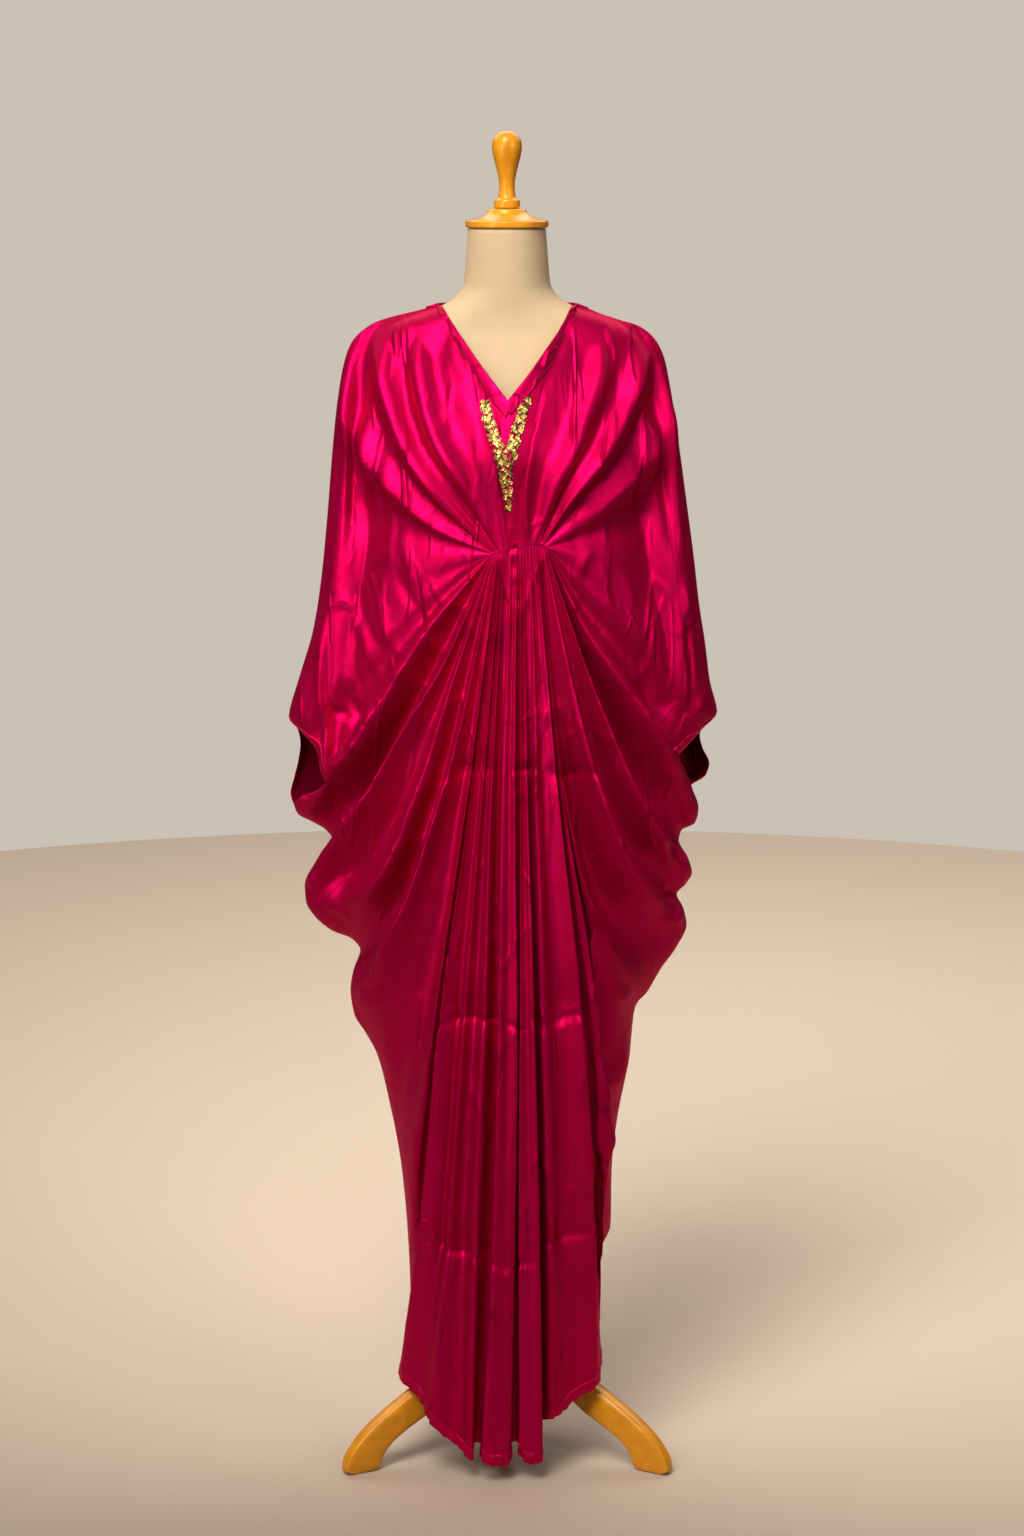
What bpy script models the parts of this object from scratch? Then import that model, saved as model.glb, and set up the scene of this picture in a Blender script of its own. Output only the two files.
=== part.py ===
"""Draped kaftan on its limbless dress form: two panels gathered under the bust, form and tripod stand."""

import math

import bmesh
import bpy
import numpy as np
from mathutils import Vector
from mathutils.bvhtree import BVHTree

MM = 0.001

# Cloth
WALL = 1.2 * MM
BAND_WALL = 0.8 * MM
SEAM_GAP = 0.4 * MM
LAY_GAP = 0.7 * MM
MITRE_GAP = 0.6 * MM
NECKBAND_WIDTH = 13 * MM
STAY_HEIGHT = 6 * MM
STAY_OVERLAP = 3 * MM
STAY_SLACK = 0.8 * MM
SLIT_HALF = 1.5 * MM
FORM_CLEAR = 1.05 * MM
T_ROWS = 15
BACK_COLUMNS = 22
V_SLOPE = 1.04

# Stations round the edge of the front panel
V_BOTTOM = 0
NECK_LEFT = 6
CUFF_TOP_LEFT = 20
CUFF_FOOT_LEFT = 26
HEM_LEFT = 48
HEM_RIGHT = 92
CUFF_FOOT_RIGHT = 114
CUFF_TOP_RIGHT = 120
NECK_RIGHT = 134
STATIONS = 140

# Dress form and stand; the pole's place puts the middle of the whole over the origin
POLE_AT = (5.0 * MM, -37.7 * MM, 0.0)
TORSO_FOOT = 0.780
POLE_RADIUS = 12.5 * MM
HUB_RADIUS = 30 * MM
HUB_TOP = 0.165
HUB_FOOT = 0.085
LEG_THICKNESS = 22 * MM
LEG_TURN = math.radians(60)
PART_GAP = 0.3 * MM

# Edge of the front panel in millimetres: station, x, y, z
EDGE_FRONT = [
    (0, 1, -112, 1296),
    (1.5, -19, -98, 1321),
    (3, -39, -78, 1347),
    (4.5, -59, -50, 1374),
    (6, -82, -5, 1400),
    (7, -97, 0, 1395),
    (8, -113, 1, 1391),
    (9, -130, 2, 1387),
    (10, -150, 2, 1381),
    (11, -168, 1, 1371),
    (12, -183, 0, 1355),
    (13, -192, 0, 1330),
    (14, -200, 0, 1285),
    (15, -206, 0, 1230),
    (16, -213, 0, 1150),
    (17, -221, 0, 1075),
    (18, -231, 0, 1015),
    (19, -246, 0, 965),
    (20, -261, 0, 912),
    (21, -246, -20, 897),
    (22, -226, -38, 876),
    (23, -221, -46, 852),
    (24, -214, -47, 834),
    (25, -232, -34, 818),
    (26, -256, -5, 806),
    (27, -252, 0, 793),
    (28, -236, 4, 783),
    (29, -219, 6, 772),
    (30, -211, 6, 760),
    (31, -222, 4, 742),
    (32, -236, 0, 725),
    (33, -244, -2, 706),
    (34, -243, 0, 685),
    (35, -232, 2, 665),
    (36, -212, 4, 648),
    (37, -188, 8, 637),
    (38, -178, 8, 622),
    (39, -186, 2, 600),
    (40, -190, 0, 575),
    (41, -186, 2, 545),
    (42, -171, 5, 518),
    (43, -158, 6, 492),
    (44, -143, 4, 430),
    (45, -130, 0, 360),
    (46, -122, 0, 270),
    (47, -119, 0, 180),
    (48, -119, 0, 105),
    (50, -124, -44, 104),
    (52, -120, -76, 96),
    (54, -106, -98, 82),
    (56, -88, -112, 64),
    (58, -70, -121, 45),
    (60, -55, -127, 34),
    (62, -44, -129, 27),
    (64, -36, -124, 40),
    (66, -28, -134, 30),
    (68, -16, -139, 22),
    (70, -3, -138, 22),
    (72, 4, -129, 34),
    (73, 9, -124, 42),
    (75, 18, -130, 33),
    (77, 27, -136, 23),
    (79, 37, -133, 26),
    (80, 39, -126, 37),
    (81, 38, -112, 64),
    (83, 52, -116, 73),
    (85, 68, -111, 78),
    (87, 86, -99, 92),
    (89, 106, -82, 108),
    (90, 117, -66, 118),
    (91, 121, -36, 119),
    (92, 115, 0, 118),
    (93, 112, 0, 152),
    (94, 108, 0, 192),
    (95, 110, 0, 238),
    (96, 127, 0, 280),
    (97, 128, 0, 350),
    (98, 134, 2, 410),
    (99, 148, 5, 485),
    (100, 156, 5, 554),
    (101, 171, 3, 573),
    (102, 186, 2, 600),
    (103, 205, 0, 628),
    (104, 217, 0, 655),
    (105, 213, 3, 676),
    (106, 205, 5, 692),
    (107, 216, 2, 706),
    (108, 223, 0, 720),
    (109, 218, 3, 738),
    (110, 207, 5, 758),
    (111, 210, 5, 771),
    (112, 226, 0, 781),
    (113, 230, -2, 800),
    (114, 219, -5, 826),
    (115, 205, -32, 833),
    (116, 191, -46, 841),
    (117, 190, -49, 857),
    (118, 209, -40, 877),
    (119, 232, -20, 899),
    (120, 251, 0, 918),
    (121, 242, 0, 955),
    (122, 236, 0, 1000),
    (123, 228, 0, 1050),
    (124, 222, 0, 1100),
    (125, 213, 0, 1165),
    (126, 206, 0, 1215),
    (127, 199, 0, 1262),
    (128, 191, 0, 1310),
    (129, 184, 0, 1340),
    (130, 171, 1, 1363),
    (131, 152, 2, 1376),
    (132, 132, 2, 1382),
    (133, 108, 1, 1390),
    (134, 82, -5, 1400),
    (135.5, 61, -50, 1373),
    (137, 41, -78, 1346),
    (138.5, 22, -98, 1321),
    (140, 1, -112, 1296),
]

# Back edges of the two cuffs in millimetres: station, x, y, z
EDGE_BACK_CUFFS = [
    (21, -251, 14, 893),
    (22, -249, 30, 874),
    (23, -252, 38, 852),
    (24, -257, 36, 832),
    (25, -261, 20, 815),
    (115, 239, 18, 836),
    (116, 244, 33, 849),
    (117, 236, 38, 866),
    (118, 232, 30, 884),
    (119, 241, 15, 902),
]

# Folds of the front panel, one row a fold line from the gather to the edge. Columns: station; x and z at a
# quarter, half and three quarters of its length; how far it stands out there and at the edge; crease, 1 sharp
# to 2 round. Millimetres
FOLDS = [
    (0, 8, 1170, 5, 1212, 3, 1254, 0, 0, 0, 0, 2),
    (3, 1, 1165, -7, 1222, -21, 1285, -2, -3, -2, 0, 2),
    (6, -13, 1195, -34, 1263, -61, 1330, 3, 3, -1, 0, 1.6),
    (6.7, -28, 1193, -58, 1258, -82, 1327, -3, -4, -2, 0, 1.6),
    (7.4, -44, 1191, -82, 1252, -103, 1324, 7, 9, 7, 0, 1.4),
    (8.8, -57, 1184, -99, 1245, -123, 1316, -4, -7, -6, 0, 1.8),
    (10.4, -70, 1176, -115, 1236, -143, 1306, 7, 9, 7, 0, 1.4),
    (12, -79, 1167, -131, 1221, -166, 1290, -6, -9, -9, 0, 1.8),
    (13.6, -88, 1152, -146, 1203, -182, 1258, 3, 5, 6, 0, 1.5),
    (15, -88, 1138, -150, 1168, -190, 1200, -3, -7, -9, 0, 2),
    (17, -82, 1113, -142, 1102, -195, 1087, 3, 5, 5, 0, 2),
    (20, -84, 1082, -148, 1028, -212, 958, 0, 2, 4, 0, 2),
    (23, -86, 1056, -141, 988, -190, 914, -4, -8, -9, 0, 2),
    (26, -88, 1030, -134, 950, -184, 872, 14, 22, 26, 0, 1.7),
    (29.6, -78, 1008, -129, 920, -180, 830, -14, -26, -28, 0, 2),
    (32.3, -71, 992, -126, 898, -178, 802, 10, 15, 15, 0, 1.1),
    (34.3, -69, 974, -113, 873, -161, 771, -5, -11, -14, 0, 2),
    (35.8, -66, 958, -100, 850, -142, 743, 7, 13, 14, 0, 1.5),
    (37.8, -57, 944, -92, 824, -133, 707, -11, -22, -24, 0, 2),
    (40.3, -50, 932, -85, 802, -127, 676, 8, 15, 16, 0, 1.3),
    (43, -47, 880, -79, 700, -112, 565, -8, -15, -16, 0, 2),
    (45.4, -45, 850, -76, 630, -104, 430, 3, 5, 4, 0, 1.7),
    (48, -44, 835, -75, 600, -102, 350, -5, -9, -8, 0, 2),
    (50.6, -43, 818, -71, 575, -92, 331, 7, 12, 12, 9, 1.2),
    (53.5, -37, 822, -60, 574, -80, 328, -4, -7, -8, -6, 2),
    (56, -31, 815, -50, 570, -67, 322, 4, 6, 6, 6, 1.4),
    (59, -25, 830, -40, 575, -54, 316, -4, -6, -6, -5, 2),
    (62, -18, 840, -26, 578, -36, 315, 5, 7, 8, 7, 1.3),
    (64, -10, 847, -13, 580, -21, 314, -8, -15, -17, -13, 1.2),
    (66.5, -5, 848, -7, 580, -12, 312, 6, 10, 10, 8, 1.5),
    (69, 2, 849, 1, 580, -3, 311, 2, 3, 4, 4, 2),
    (71, 8, 849, 9, 580, 5, 311, 5, 8, 7, 5, 1.4),
    (73, 14, 849, 14, 579, 11, 310, -7, -14, -15, -11, 1.2),
    (75, 17, 850, 18, 582, 17, 315, 5, 7, 6, 5, 1.5),
    (77, 20, 853, 23, 588, 25, 325, 1, 1, 1, 3, 2),
    (79, 23, 856, 28, 594, 33, 333, 5, 8, 8, 8, 1.3),
    (81, 26, 857, 32, 598, 37, 339, -8, -15, -17, -10, 1.1),
    (83, 33, 855, 42, 598, 49, 342, 4, 7, 7, 5, 1.5),
    (86, 45, 845, 61, 594, 70, 343, -3, -4, -4, -3, 2),
    (88.6, 60, 828, 84, 586, 96, 345, 7, 12, 14, 10, 1.2),
    (90.6, 63, 820, 93, 565, 106, 337, -5, -10, -10, -5, 2),
    (93, 66, 812, 103, 545, 114, 330, 2, 3, 2, 0, 2),
    (95, 65, 835, 99, 630, 117, 430, 4, 6, 5, 0, 1.6),
    (97.6, 60, 880, 88, 730, 116, 580, -7, -14, -15, 0, 2),
    (100.6, 53, 939, 70, 811, 102, 686, 8, 16, 17, 0, 1.3),
    (102.4, 62, 948, 85, 830, 121, 712, -9, -20, -21, 0, 2),
    (104.4, 74, 967, 102, 853, 143, 744, 9, 14, 14, 0, 1.4),
    (106.2, 79, 985, 110, 878, 151, 776, -8, -17, -17, 0, 2),
    (108, 84, 1003, 118, 906, 160, 810, 9, 14, 14, 0, 1.2),
    (110.5, 83, 1018, 122, 932, 166, 846, -13, -24, -24, 0, 2),
    (113.2, 85, 1034, 128, 963, 171, 893, 14, 22, 24, 0, 1.6),
    (117, 88, 1060, 138, 994, 180, 918, -5, -7, -7, 0, 2),
    (120, 88, 1085, 150, 1032, 206, 965, 2, 4, 5, 0, 2),
    (123, 85, 1115, 143, 1104, 192, 1083, 4, 5, 5, 0, 2),
    (125, 92, 1140, 151, 1163, 187, 1188, -3, -6, -7, 0, 2),
    (127, 88, 1155, 146, 1200, 179, 1243, 3, 5, 5, 0, 1.5),
    (128.5, 80, 1172, 131, 1220, 166, 1280, -6, -9, -9, 0, 1.8),
    (130, 73, 1184, 116, 1238, 149, 1300, 7, 9, 7, 0, 1.4),
    (131.4, 65, 1190, 100, 1247, 127, 1310, -4, -7, -6, 0, 1.8),
    (132.8, 56, 1195, 83, 1256, 104, 1320, 7, 9, 7, 0, 1.4),
    (133.4, 40, 1199, 61, 1263, 84, 1328, -3, -4, -2, 0, 1.6),
    (134.2, 22, 1201, 36, 1268, 60, 1334, 4, 3, -1, 0, 1.6),
    (137, 15, 1182, 25, 1230, 34, 1288, -2, -3, -2, 0, 2),
    (140, 8, 1170, 5, 1212, 3, 1254, 0, 0, 0, 0, 2),
]

# Stations round the gather in millimetres: station, x
SLIT_X = [
    (0, 10), (3, 5), (6, -1), (7.4, -7), (10.4, -13), (13.6, -16), (17, -18), (20, -19), (23, -19.4),
    (26, -19), (32, -17.5), (36, -15.5), (40, -13), (48, -9), (56, -5.5), (64, -1), (73, 14), (81, 23),
    (88.6, 32), (93, 35), (100, 39), (104, 42), (108, 45), (113, 47), (117, 47.4), (120, 47), (123, 46),
    (127, 44), (130, 40), (132.8, 34), (134, 26), (137, 18), (140, 10),
]
SLIT_FOOT_FROM, SLIT_FOOT_TO = 23, 117

# Line of the gather in millimetres: x, z
GATHER = [(-20, 1119), (-4, 1122), (8, 1126), (17, 1128.5), (28, 1131.5), (37, 1130), (48, 1125.5)]

# Depth of the front in millimetres: z, body, body half width, wing
FRONT_DEPTH = [
    (20, 128, 138, 10),
    (200, 130, 138, 12),
    (400, 135, 152, 30),
    (600, 140, 190, 55),
    (800, 137, 210, 62),
    (1000, 128, 190, 52),
    (1125, 121, 165, 42),
    (1220, 124, 178, 38),
    (1300, 99, 178, 30),
    (1360, 62, 160, 14),
    (1400, 14, 130, 4),
]
BUST = ((-78, 1215), (84, 1218))
BUST_SIZE, BUST_OUT = 62, 10

# Depth of the back in millimetres: z, body, body half width, wing
BACK_DEPTH = [
    (20, 122, 130, 10),
    (200, 122, 132, 14),
    (400, 126, 150, 34),
    (600, 136, 185, 58),
    (800, 135, 200, 62),
    (1000, 118, 185, 52),
    (1125, 104, 168, 44),
    (1220, 104, 176, 40),
    (1300, 98, 178, 32),
    (1360, 84, 160, 18),
    (1400, 66, 120, 8),
]

# Cowls that pass round the sides to the back, millimetres: station left, station right, stands out, sag
COWLS = [
    (6, 134, 0, 2),
    (12, 128, 0, 0),
    (20, 120, 0, 6),
    (26, 113, 19, 44),
    (30, 110.4, -17, 54),
    (33, 108, 17, 60),
    (35, 106, -9, 62),
    (36, 104, 9, 62),
    (37.7, 102.4, -16, 60),
    (40, 100.4, 15, 52),
    (43, 98, -10, 34),
    (45, 96, 4, 10),
    (48, 92, 0, -34),
]

# Stations whose seam points give the even run of the back between its sides: left, right
BACK_RUN = [(6, 134), (13, 127), (20, 120), (26, 114), (33, 108), (40, 100), (45, 95), (48, 92)]

# Long soft folds of the back: x at the shoulders and at the hem, half width there and at the hem, height
BACK_FOLDS = [
    (-96, -92, 13, 15, 7),
    (-58, -52, 11, 14, 9),
    (-22, -14, 10, 13, 7),
    (18, 24, 10, 14, 9),
    (52, 60, 11, 13, 8),
    (92, 94, 12, 14, 6),
]

# Dress form, millimetres: z, half width, front, back
TORSO = [
    (780, 128, 78, 92),
    (784, 146, 88, 104),
    (800, 160, 95, 113),
    (860, 168, 99, 118),
    (940, 158, 94, 104),
    (1010, 138, 87, 82),
    (1070, 124, 83, 70),
    (1125, 128, 89, 74),
    (1170, 140, 99, 82),
    (1215, 149, 105, 88),
    (1260, 155, 96, 91),
    (1305, 160, 80, 90),
    (1338, 162, 67, 84),
    (1358, 156, 58, 76),
    (1372, 142, 52, 69),
    (1382, 122, 50, 63),
    (1390, 99, 49, 58),
    (1398, 78, 49, 54),
    (1408, 61, 49.5, 51),
    (1424, 51, 49.5, 50),
    (1455, 48, 48, 48),
    (1488, 45.5, 45.5, 45.5),
]
TORSO_SIDES = 28
BREASTS = ((-70, 1212), (70, 1212))
BREAST_SIZE, BREAST_OUT = 48, 11

# Neck cap, outer side from top to bottom, millimetres: radius, height
CAP_PROFILE = [
    (14, 1511), (21, 1510.5), (24, 1506), (31, 1501.5), (41, 1498.5), (47, 1497.4), (48.5, 1495.8),
    (48.5, 1491), (47, 1489.3), (43, 1488.6),
]

# Finial, outer side from top to bottom, millimetres: radius, height
KNOB_PROFILE = [
    (5, 1599.6), (10, 1597.6), (14.2, 1593.6), (17, 1587.2), (17.5, 1581.5), (16.4, 1573), (13.6, 1562),
    (10.8, 1550), (9.3, 1541), (9.0, 1535), (9.6, 1528), (11.2, 1522.6), (14.4, 1521), (15.2, 1518.4),
    (15.2, 1513.6), (14, 1511.4),
]

# Leg in its upright plane, millimetres: distance from the pole, height; along the top and back underneath
LEG_TOP = [
    (30.4, 158), (52, 155), (78, 139), (104, 112), (126, 96), (145, 85), (172, 69), (198, 51),
    (216, 33), (227, 14), (228, 5), (223, 0.5),
]
LEG_FOOT = [
    (217, 0), (190, 0), (184, 2), (180, 8), (176, 18), (163, 32), (140, 46), (114, 59), (86, 78),
    (56, 96), (30.4, 100),
]

COLLECTION = "kaftan_on_form"

# Materials: name, base colour, metallic, roughness, coat
MATERIALS = {
    "magenta_satin": ((0.56, 0.0035, 0.11, 1), 0.3, 0.38, 0.0),
    "satin_band": ((0.50, 0.003, 0.095, 1), 0.3, 0.42, 0.0),
    "form_canvas": ((0.80, 0.68, 0.50, 1), 0.0, 0.86, 0.0),
    "honey_wood": ((0.62, 0.30, 0.06, 1), 0.0, 0.36, 0.5),
    "stand_steel": ((0.42, 0.42, 0.43, 1), 1.0, 0.38, 0.0),
}


def columns_of(rows):
    return [np.array(column, float) for column in zip(*rows)]


def smooth(x, xs, ys):
    """Smooth curve through the points that never swings past them: cubic pieces with limited slopes."""
    x, xs, ys = np.asarray(x, float), np.asarray(xs, float), np.asarray(ys, float)
    step = np.diff(xs)
    rise = np.diff(ys) / step
    slope = np.zeros(len(xs))
    same = rise[:-1] * rise[1:] > 0
    weight_a = 2 * step[1:] + step[:-1]
    weight_b = step[1:] + 2 * step[:-1]
    safe_a = np.where(same, rise[:-1], 1)
    safe_b = np.where(same, rise[1:], 1)
    slope[1:-1] = np.where(same, (weight_a + weight_b) / (weight_a / safe_a + weight_b / safe_b), 0)
    slope[0] = rise[0]
    slope[-1] = rise[-1]
    i = np.clip(np.searchsorted(xs, x, side="right") - 1, 0, len(xs) - 2)
    s = np.clip((x - xs[i]) / step[i], 0, 1)
    near = ys[i] * (1 + 2 * s) * (1 - s) ** 2 + ys[i + 1] * s**2 * (3 - 2 * s)
    return near + step[i] * (slope[i] * s * (1 - s) ** 2 - slope[i + 1] * s**2 * (1 - s))


def creased(x, xs, ys, crease):
    """Values between fold lines: each line keeps its own crease, sharp at 1 and round at 2."""
    i = np.clip(np.searchsorted(xs, x, side="right") - 1, 0, len(xs) - 2)
    s = np.clip((x - xs[i]) / (xs[i + 1] - xs[i]), 0, 1)
    near = s ** crease[i]
    far = (1 - s) ** crease[i + 1]
    return ys[i] + (ys[i + 1] - ys[i]) * near / (near + far)


def depth_at(table, x, z):
    """Distance in front of or behind the side plane: a rounded body joined to a flatter wing."""
    height, body, half, wing = columns_of(table)
    body, half, wing = (smooth(z, height, column) for column in (body, half, wing))
    across = np.sqrt(np.clip(1 - (x / half) ** 2, 0, 1))
    return ((body * across) ** 4 + wing**4) ** 0.25


def front_depth(x, z):
    depth = depth_at(FRONT_DEPTH, x, z)
    for bust_x, bust_z in BUST:
        away = ((x - bust_x) ** 2 + (z - bust_z) ** 2) / BUST_SIZE**2
        depth = depth + BUST_OUT * np.exp(-away * 1.6)
    return depth


def slit_points(u):
    """Points round the gather: the slit that its stay closes."""
    stations, across = columns_of(SLIT_X)
    x = smooth(u, stations, across)
    line_x, line_z = columns_of(GATHER)
    left, right = across.min(), across.max()
    end = np.minimum(x - left, right - x).clip(0)
    half = SLIT_HALF / MM * np.sqrt(np.clip(end / 2.0, 0, 1))
    below = (u > SLIT_FOOT_FROM) & (u < SLIT_FOOT_TO)
    return x, smooth(x, line_x, line_z) + np.where(below, -half, half)


def seam_turn(u):
    """How the panel turns into its edge: where the turn starts and how round it is."""
    stations = [0, 2, 11, 46, 52, 88, 94, 129, 138, 140]
    starts = [0, 0, 0.62, 0.7, 0, 0, 0.7, 0.62, 0, 0]
    powers = [1, 1, 0.5, 0.5, 1, 1, 0.5, 0.5, 1, 1]
    return np.interp(u, stations, starts), np.interp(u, stations, powers)


def front_panel_points(u, t):
    """The front panel in millimetres, at stations u round its edge and rows t from the gather to the edge."""
    fold = columns_of(FOLDS)
    edge = columns_of(EDGE_FRONT)
    slit_x, slit_z = slit_points(u)
    edge_x, edge_y, edge_z = (smooth(u, edge[0], edge[k]) for k in (1, 2, 3))
    marks = np.array([0, 0.25, 0.5, 0.75, 1])
    path_x = [slit_x] + [smooth(u, fold[0], fold[k]) for k in (1, 3, 5)] + [edge_x]
    path_z = [slit_z] + [smooth(u, fold[0], fold[k]) for k in (2, 4, 6)] + [edge_z]
    rise = [0 * u] + [creased(u, fold[0], fold[k], fold[11]) for k in (7, 8, 9, 10)]
    x, z, out = (along(t, marks, np.array(path)) for path in (path_x, path_z, rise))
    start, power = seam_turn(u)
    r = np.clip((t - start) / (1 - start), 0, 1)
    turned = 1 - (1 - r**2) ** power
    y = -front_depth(x, z) + (edge_y + front_depth(edge_x, edge_z)) * turned
    base = np.stack([x, y, z], axis=-1)
    fine = fine_pleats(u, t)
    return base + outward(base) * (out + fine)[..., None]


def fine_pleats(u, t):
    """Small knife pleats under the gather that run out down the skirt, and short ones above it."""
    under = np.clip((u - 40) / 4, 0, 1) * np.clip((100 - u) / 4, 0, 1)
    knife = np.where(np.round(u) % 2 == 0, 1.0, -1.0)
    height = np.interp(t, [0, 0.02, 0.10, 0.30, 0.5], [0, 0.3, 1.5, 1.0, 0])
    return height * (under * knife)


def along(t, marks, rows):
    """Curve down each column through its rows at the marks, straight on at its two ends."""
    slope = np.gradient(rows, marks, axis=0)
    i = np.clip(np.searchsorted(marks, t, side="right") - 1, 0, len(marks) - 2)
    step = marks[i + 1] - marks[i]
    s = (t - marks[i]) / step
    near, far = (np.take_along_axis(rows, i + k, axis=0) for k in (0, 1))
    slope_near, slope_far = (np.take_along_axis(slope, i + k, axis=0) for k in (0, 1))
    value = near * (1 + 2 * s) * (1 - s) ** 2 + far * s**2 * (3 - 2 * s)
    return value + step * (slope_near * s * (1 - s) ** 2 - slope_far * s**2 * (1 - s))


def outward(grid):
    """Unit normals of a grid of points, away from the body on the front panel."""
    normal = np.cross(np.gradient(grid, axis=0), np.gradient(grid, axis=1))
    normal /= np.linalg.norm(normal, axis=-1, keepdims=True).clip(1e-9)
    return normal


def back_panel_points(k, s):
    """The back panel in millimetres: row k down the seams, s from -1 at the left seam to 1 at the right."""
    edge = columns_of(sorted(back_edge()))
    left = [smooth(NECK_LEFT + k, edge[0], edge[c])[:, None] for c in (1, 2, 3)]
    right = [smooth(NECK_RIGHT - k, edge[0], edge[c])[:, None] for c in (1, 2, 3)]
    run_left, run_right = columns_of(BACK_RUN)
    even = []
    for c in (1, 3):
        ends = smooth(run_left, edge[0], edge[c]), smooth(run_right, edge[0], edge[c])
        even.append(smooth(NECK_LEFT + k, run_left, ends[0])[:, None])
        even.append(smooth(NECK_RIGHT - k, run_right[::-1], ends[1][::-1])[:, None])
    cowl_left, cowl_right, height, sag = columns_of(COWLS)
    out_left = smooth(NECK_LEFT + k, cowl_left, height)[:, None]
    out_right = smooth(NECK_RIGHT - k, cowl_right[::-1], height[::-1])[:, None]
    sag = smooth(NECK_LEFT + k, cowl_left, sag)[:, None]
    s = s[None, :]
    part = (s + 1) / 2
    near_left, near_right = (np.clip((side * s - 0.5) / 0.5, 0, 1) ** 1.5 for side in (-1, 1))
    x = even[0] + (even[1] - even[0]) * part
    x = x + (left[0] - even[0]) * near_left + (right[0] - even[1]) * near_right
    z = even[2] + (even[3] - even[2]) * part
    z = z + (left[2] - even[2]) * near_left + (right[2] - even[3]) * near_right
    z = z - sag * (1 - s**2)
    r = np.clip((np.abs(s) - 0.62) / 0.38, 0, 1)
    turned = 1 - np.sqrt(1 - r**2)
    seam_y = np.where(s < 0, left[1], right[1])
    seam_x, seam_z = (np.where(s < 0, left[c], right[c]) for c in (0, 2))
    seam_depth = depth_at(BACK_DEPTH, seam_x, seam_z)
    y = depth_at(BACK_DEPTH, x, z) + (seam_y - seam_depth) * turned
    base = np.stack([x, y, z], axis=-1)
    shape = np.exp(-(((np.abs(s) - 0.8) / 0.22) ** 2)) * (1 - np.abs(s) ** 8)
    out = np.where(s < 0, out_left, out_right) * shape + back_folds(x, z) * (1 - np.abs(s) ** 4)
    normal = -outward(base)
    return base + normal * out[..., None]


def back_folds(x, z):
    down = np.clip((1330 - z) / 1300, 0, 1)
    out = 0
    for top, foot, width_top, width_foot, height in BACK_FOLDS:
        centre = top + (foot - top) * down
        width = width_top + (width_foot - width_top) * down
        out = out + height * np.exp(-(((x - centre) / width) ** 2))
    return (out - 3) * np.minimum(1, down * 1.6)


def back_edge():
    """The back panel's edge: the front panel's seams, and its own edges at the cuffs."""
    rows = [row for row in EDGE_FRONT if NECK_LEFT <= row[0] <= CUFF_TOP_LEFT]
    rows += [row for row in EDGE_FRONT if CUFF_FOOT_LEFT <= row[0] <= HEM_LEFT]
    rows += [row for row in EDGE_FRONT if HEM_RIGHT <= row[0] <= CUFF_FOOT_RIGHT]
    rows += [row for row in EDGE_FRONT if CUFF_TOP_RIGHT <= row[0] <= NECK_RIGHT]
    return rows + EDGE_BACK_CUFFS


def front_rows(u):
    """Rows of the front panel: the last ones follow the neckband's width where the edge is the V."""
    t = np.repeat(even_rows(T_ROWS)[:, None], len(u), axis=1)
    edge = columns_of(EDGE_FRONT)
    edge_x, edge_z = (smooth(u, edge[0], edge[k]) for k in (1, 3))
    slit_x, slit_z = slit_points(u)
    length = np.hypot(edge_x - slit_x, edge_z - slit_z) * V_SLOPE
    at_v = (u <= NECK_LEFT) | (u >= NECK_RIGHT)
    for row, share in ((-3, 1), (-2, 0.5)):
        t[row] = np.where(at_v, 1 - share * NECKBAND_WIDTH / MM / length, t[row])
    return t


def even_rows(count):
    """Rows from 0 to 1, closer together at both ends."""
    part = np.arange(count + 1) / count
    return 0.45 * part + 0.55 * (1 - np.cos(np.pi * part)) / 2


def facets_of(grid, closed=False):
    """Two triangles for each cell of a grid, split along the cell's shorter diagonal."""
    rows, count = grid.shape[:2]
    points = grid.reshape(-1, 3)
    facets = []
    for j in range(rows - 1):
        for i in range(count if closed else count - 1):
            a, b = j * count + i, j * count + (i + 1) % count
            c, d = a + count, b + count
            if np.linalg.norm(points[a] - points[d]) < np.linalg.norm(points[b] - points[c]):
                facets += [(a, b, d), (a, d, c)]
            else:
                facets += [(a, b, c), (b, d, c)]
    return facets


def clear_of_form(grid, facets, tree):
    """The cloth settled on the dress form: wherever a facet comes closer than its gap it is moved out."""
    points = grid.reshape(-1, 3).copy()
    steps = 5
    mixes = [(i, j, steps - i - j) for i in range(steps + 1) for j in range(steps + 1 - i)]
    mixes = [np.array(mix) / steps for mix in mixes]
    near = [f for f in facets if near_form(points[f[0]])]
    for _ in range(40):
        worst = 0.0
        for facet in near:
            for mix in mixes:
                spot = Vector(mix @ points[list(facet)])
                place, normal, _, _ = tree.find_nearest(spot)
                away = spot - place
                lack = FORM_CLEAR + (away.length if away.dot(normal) < 0 else -away.length)
                if lack > 1e-6:
                    worst = max(worst, lack)
                    push = np.array(normal) * lack / sum(m * m for m in mix)
                    for m, corner in zip(mix, facet):
                        points[corner] += push * m
        if worst < 3e-5:
            break
    return points.reshape(grid.shape)


def near_form(point):
    return abs(point[0]) < 0.2 and point[2] > 0.7


def new_mesh_object(name, points, faces, material):
    mesh = bpy.data.meshes.new(name)
    mesh.from_pydata([tuple(p) for p in points], [], faces)
    mesh.update()
    body = bpy.data.objects.new(name, mesh)
    bpy.data.collections[COLLECTION].objects.link(body)
    mesh.materials.append(bpy.data.materials[material])
    return body


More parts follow.
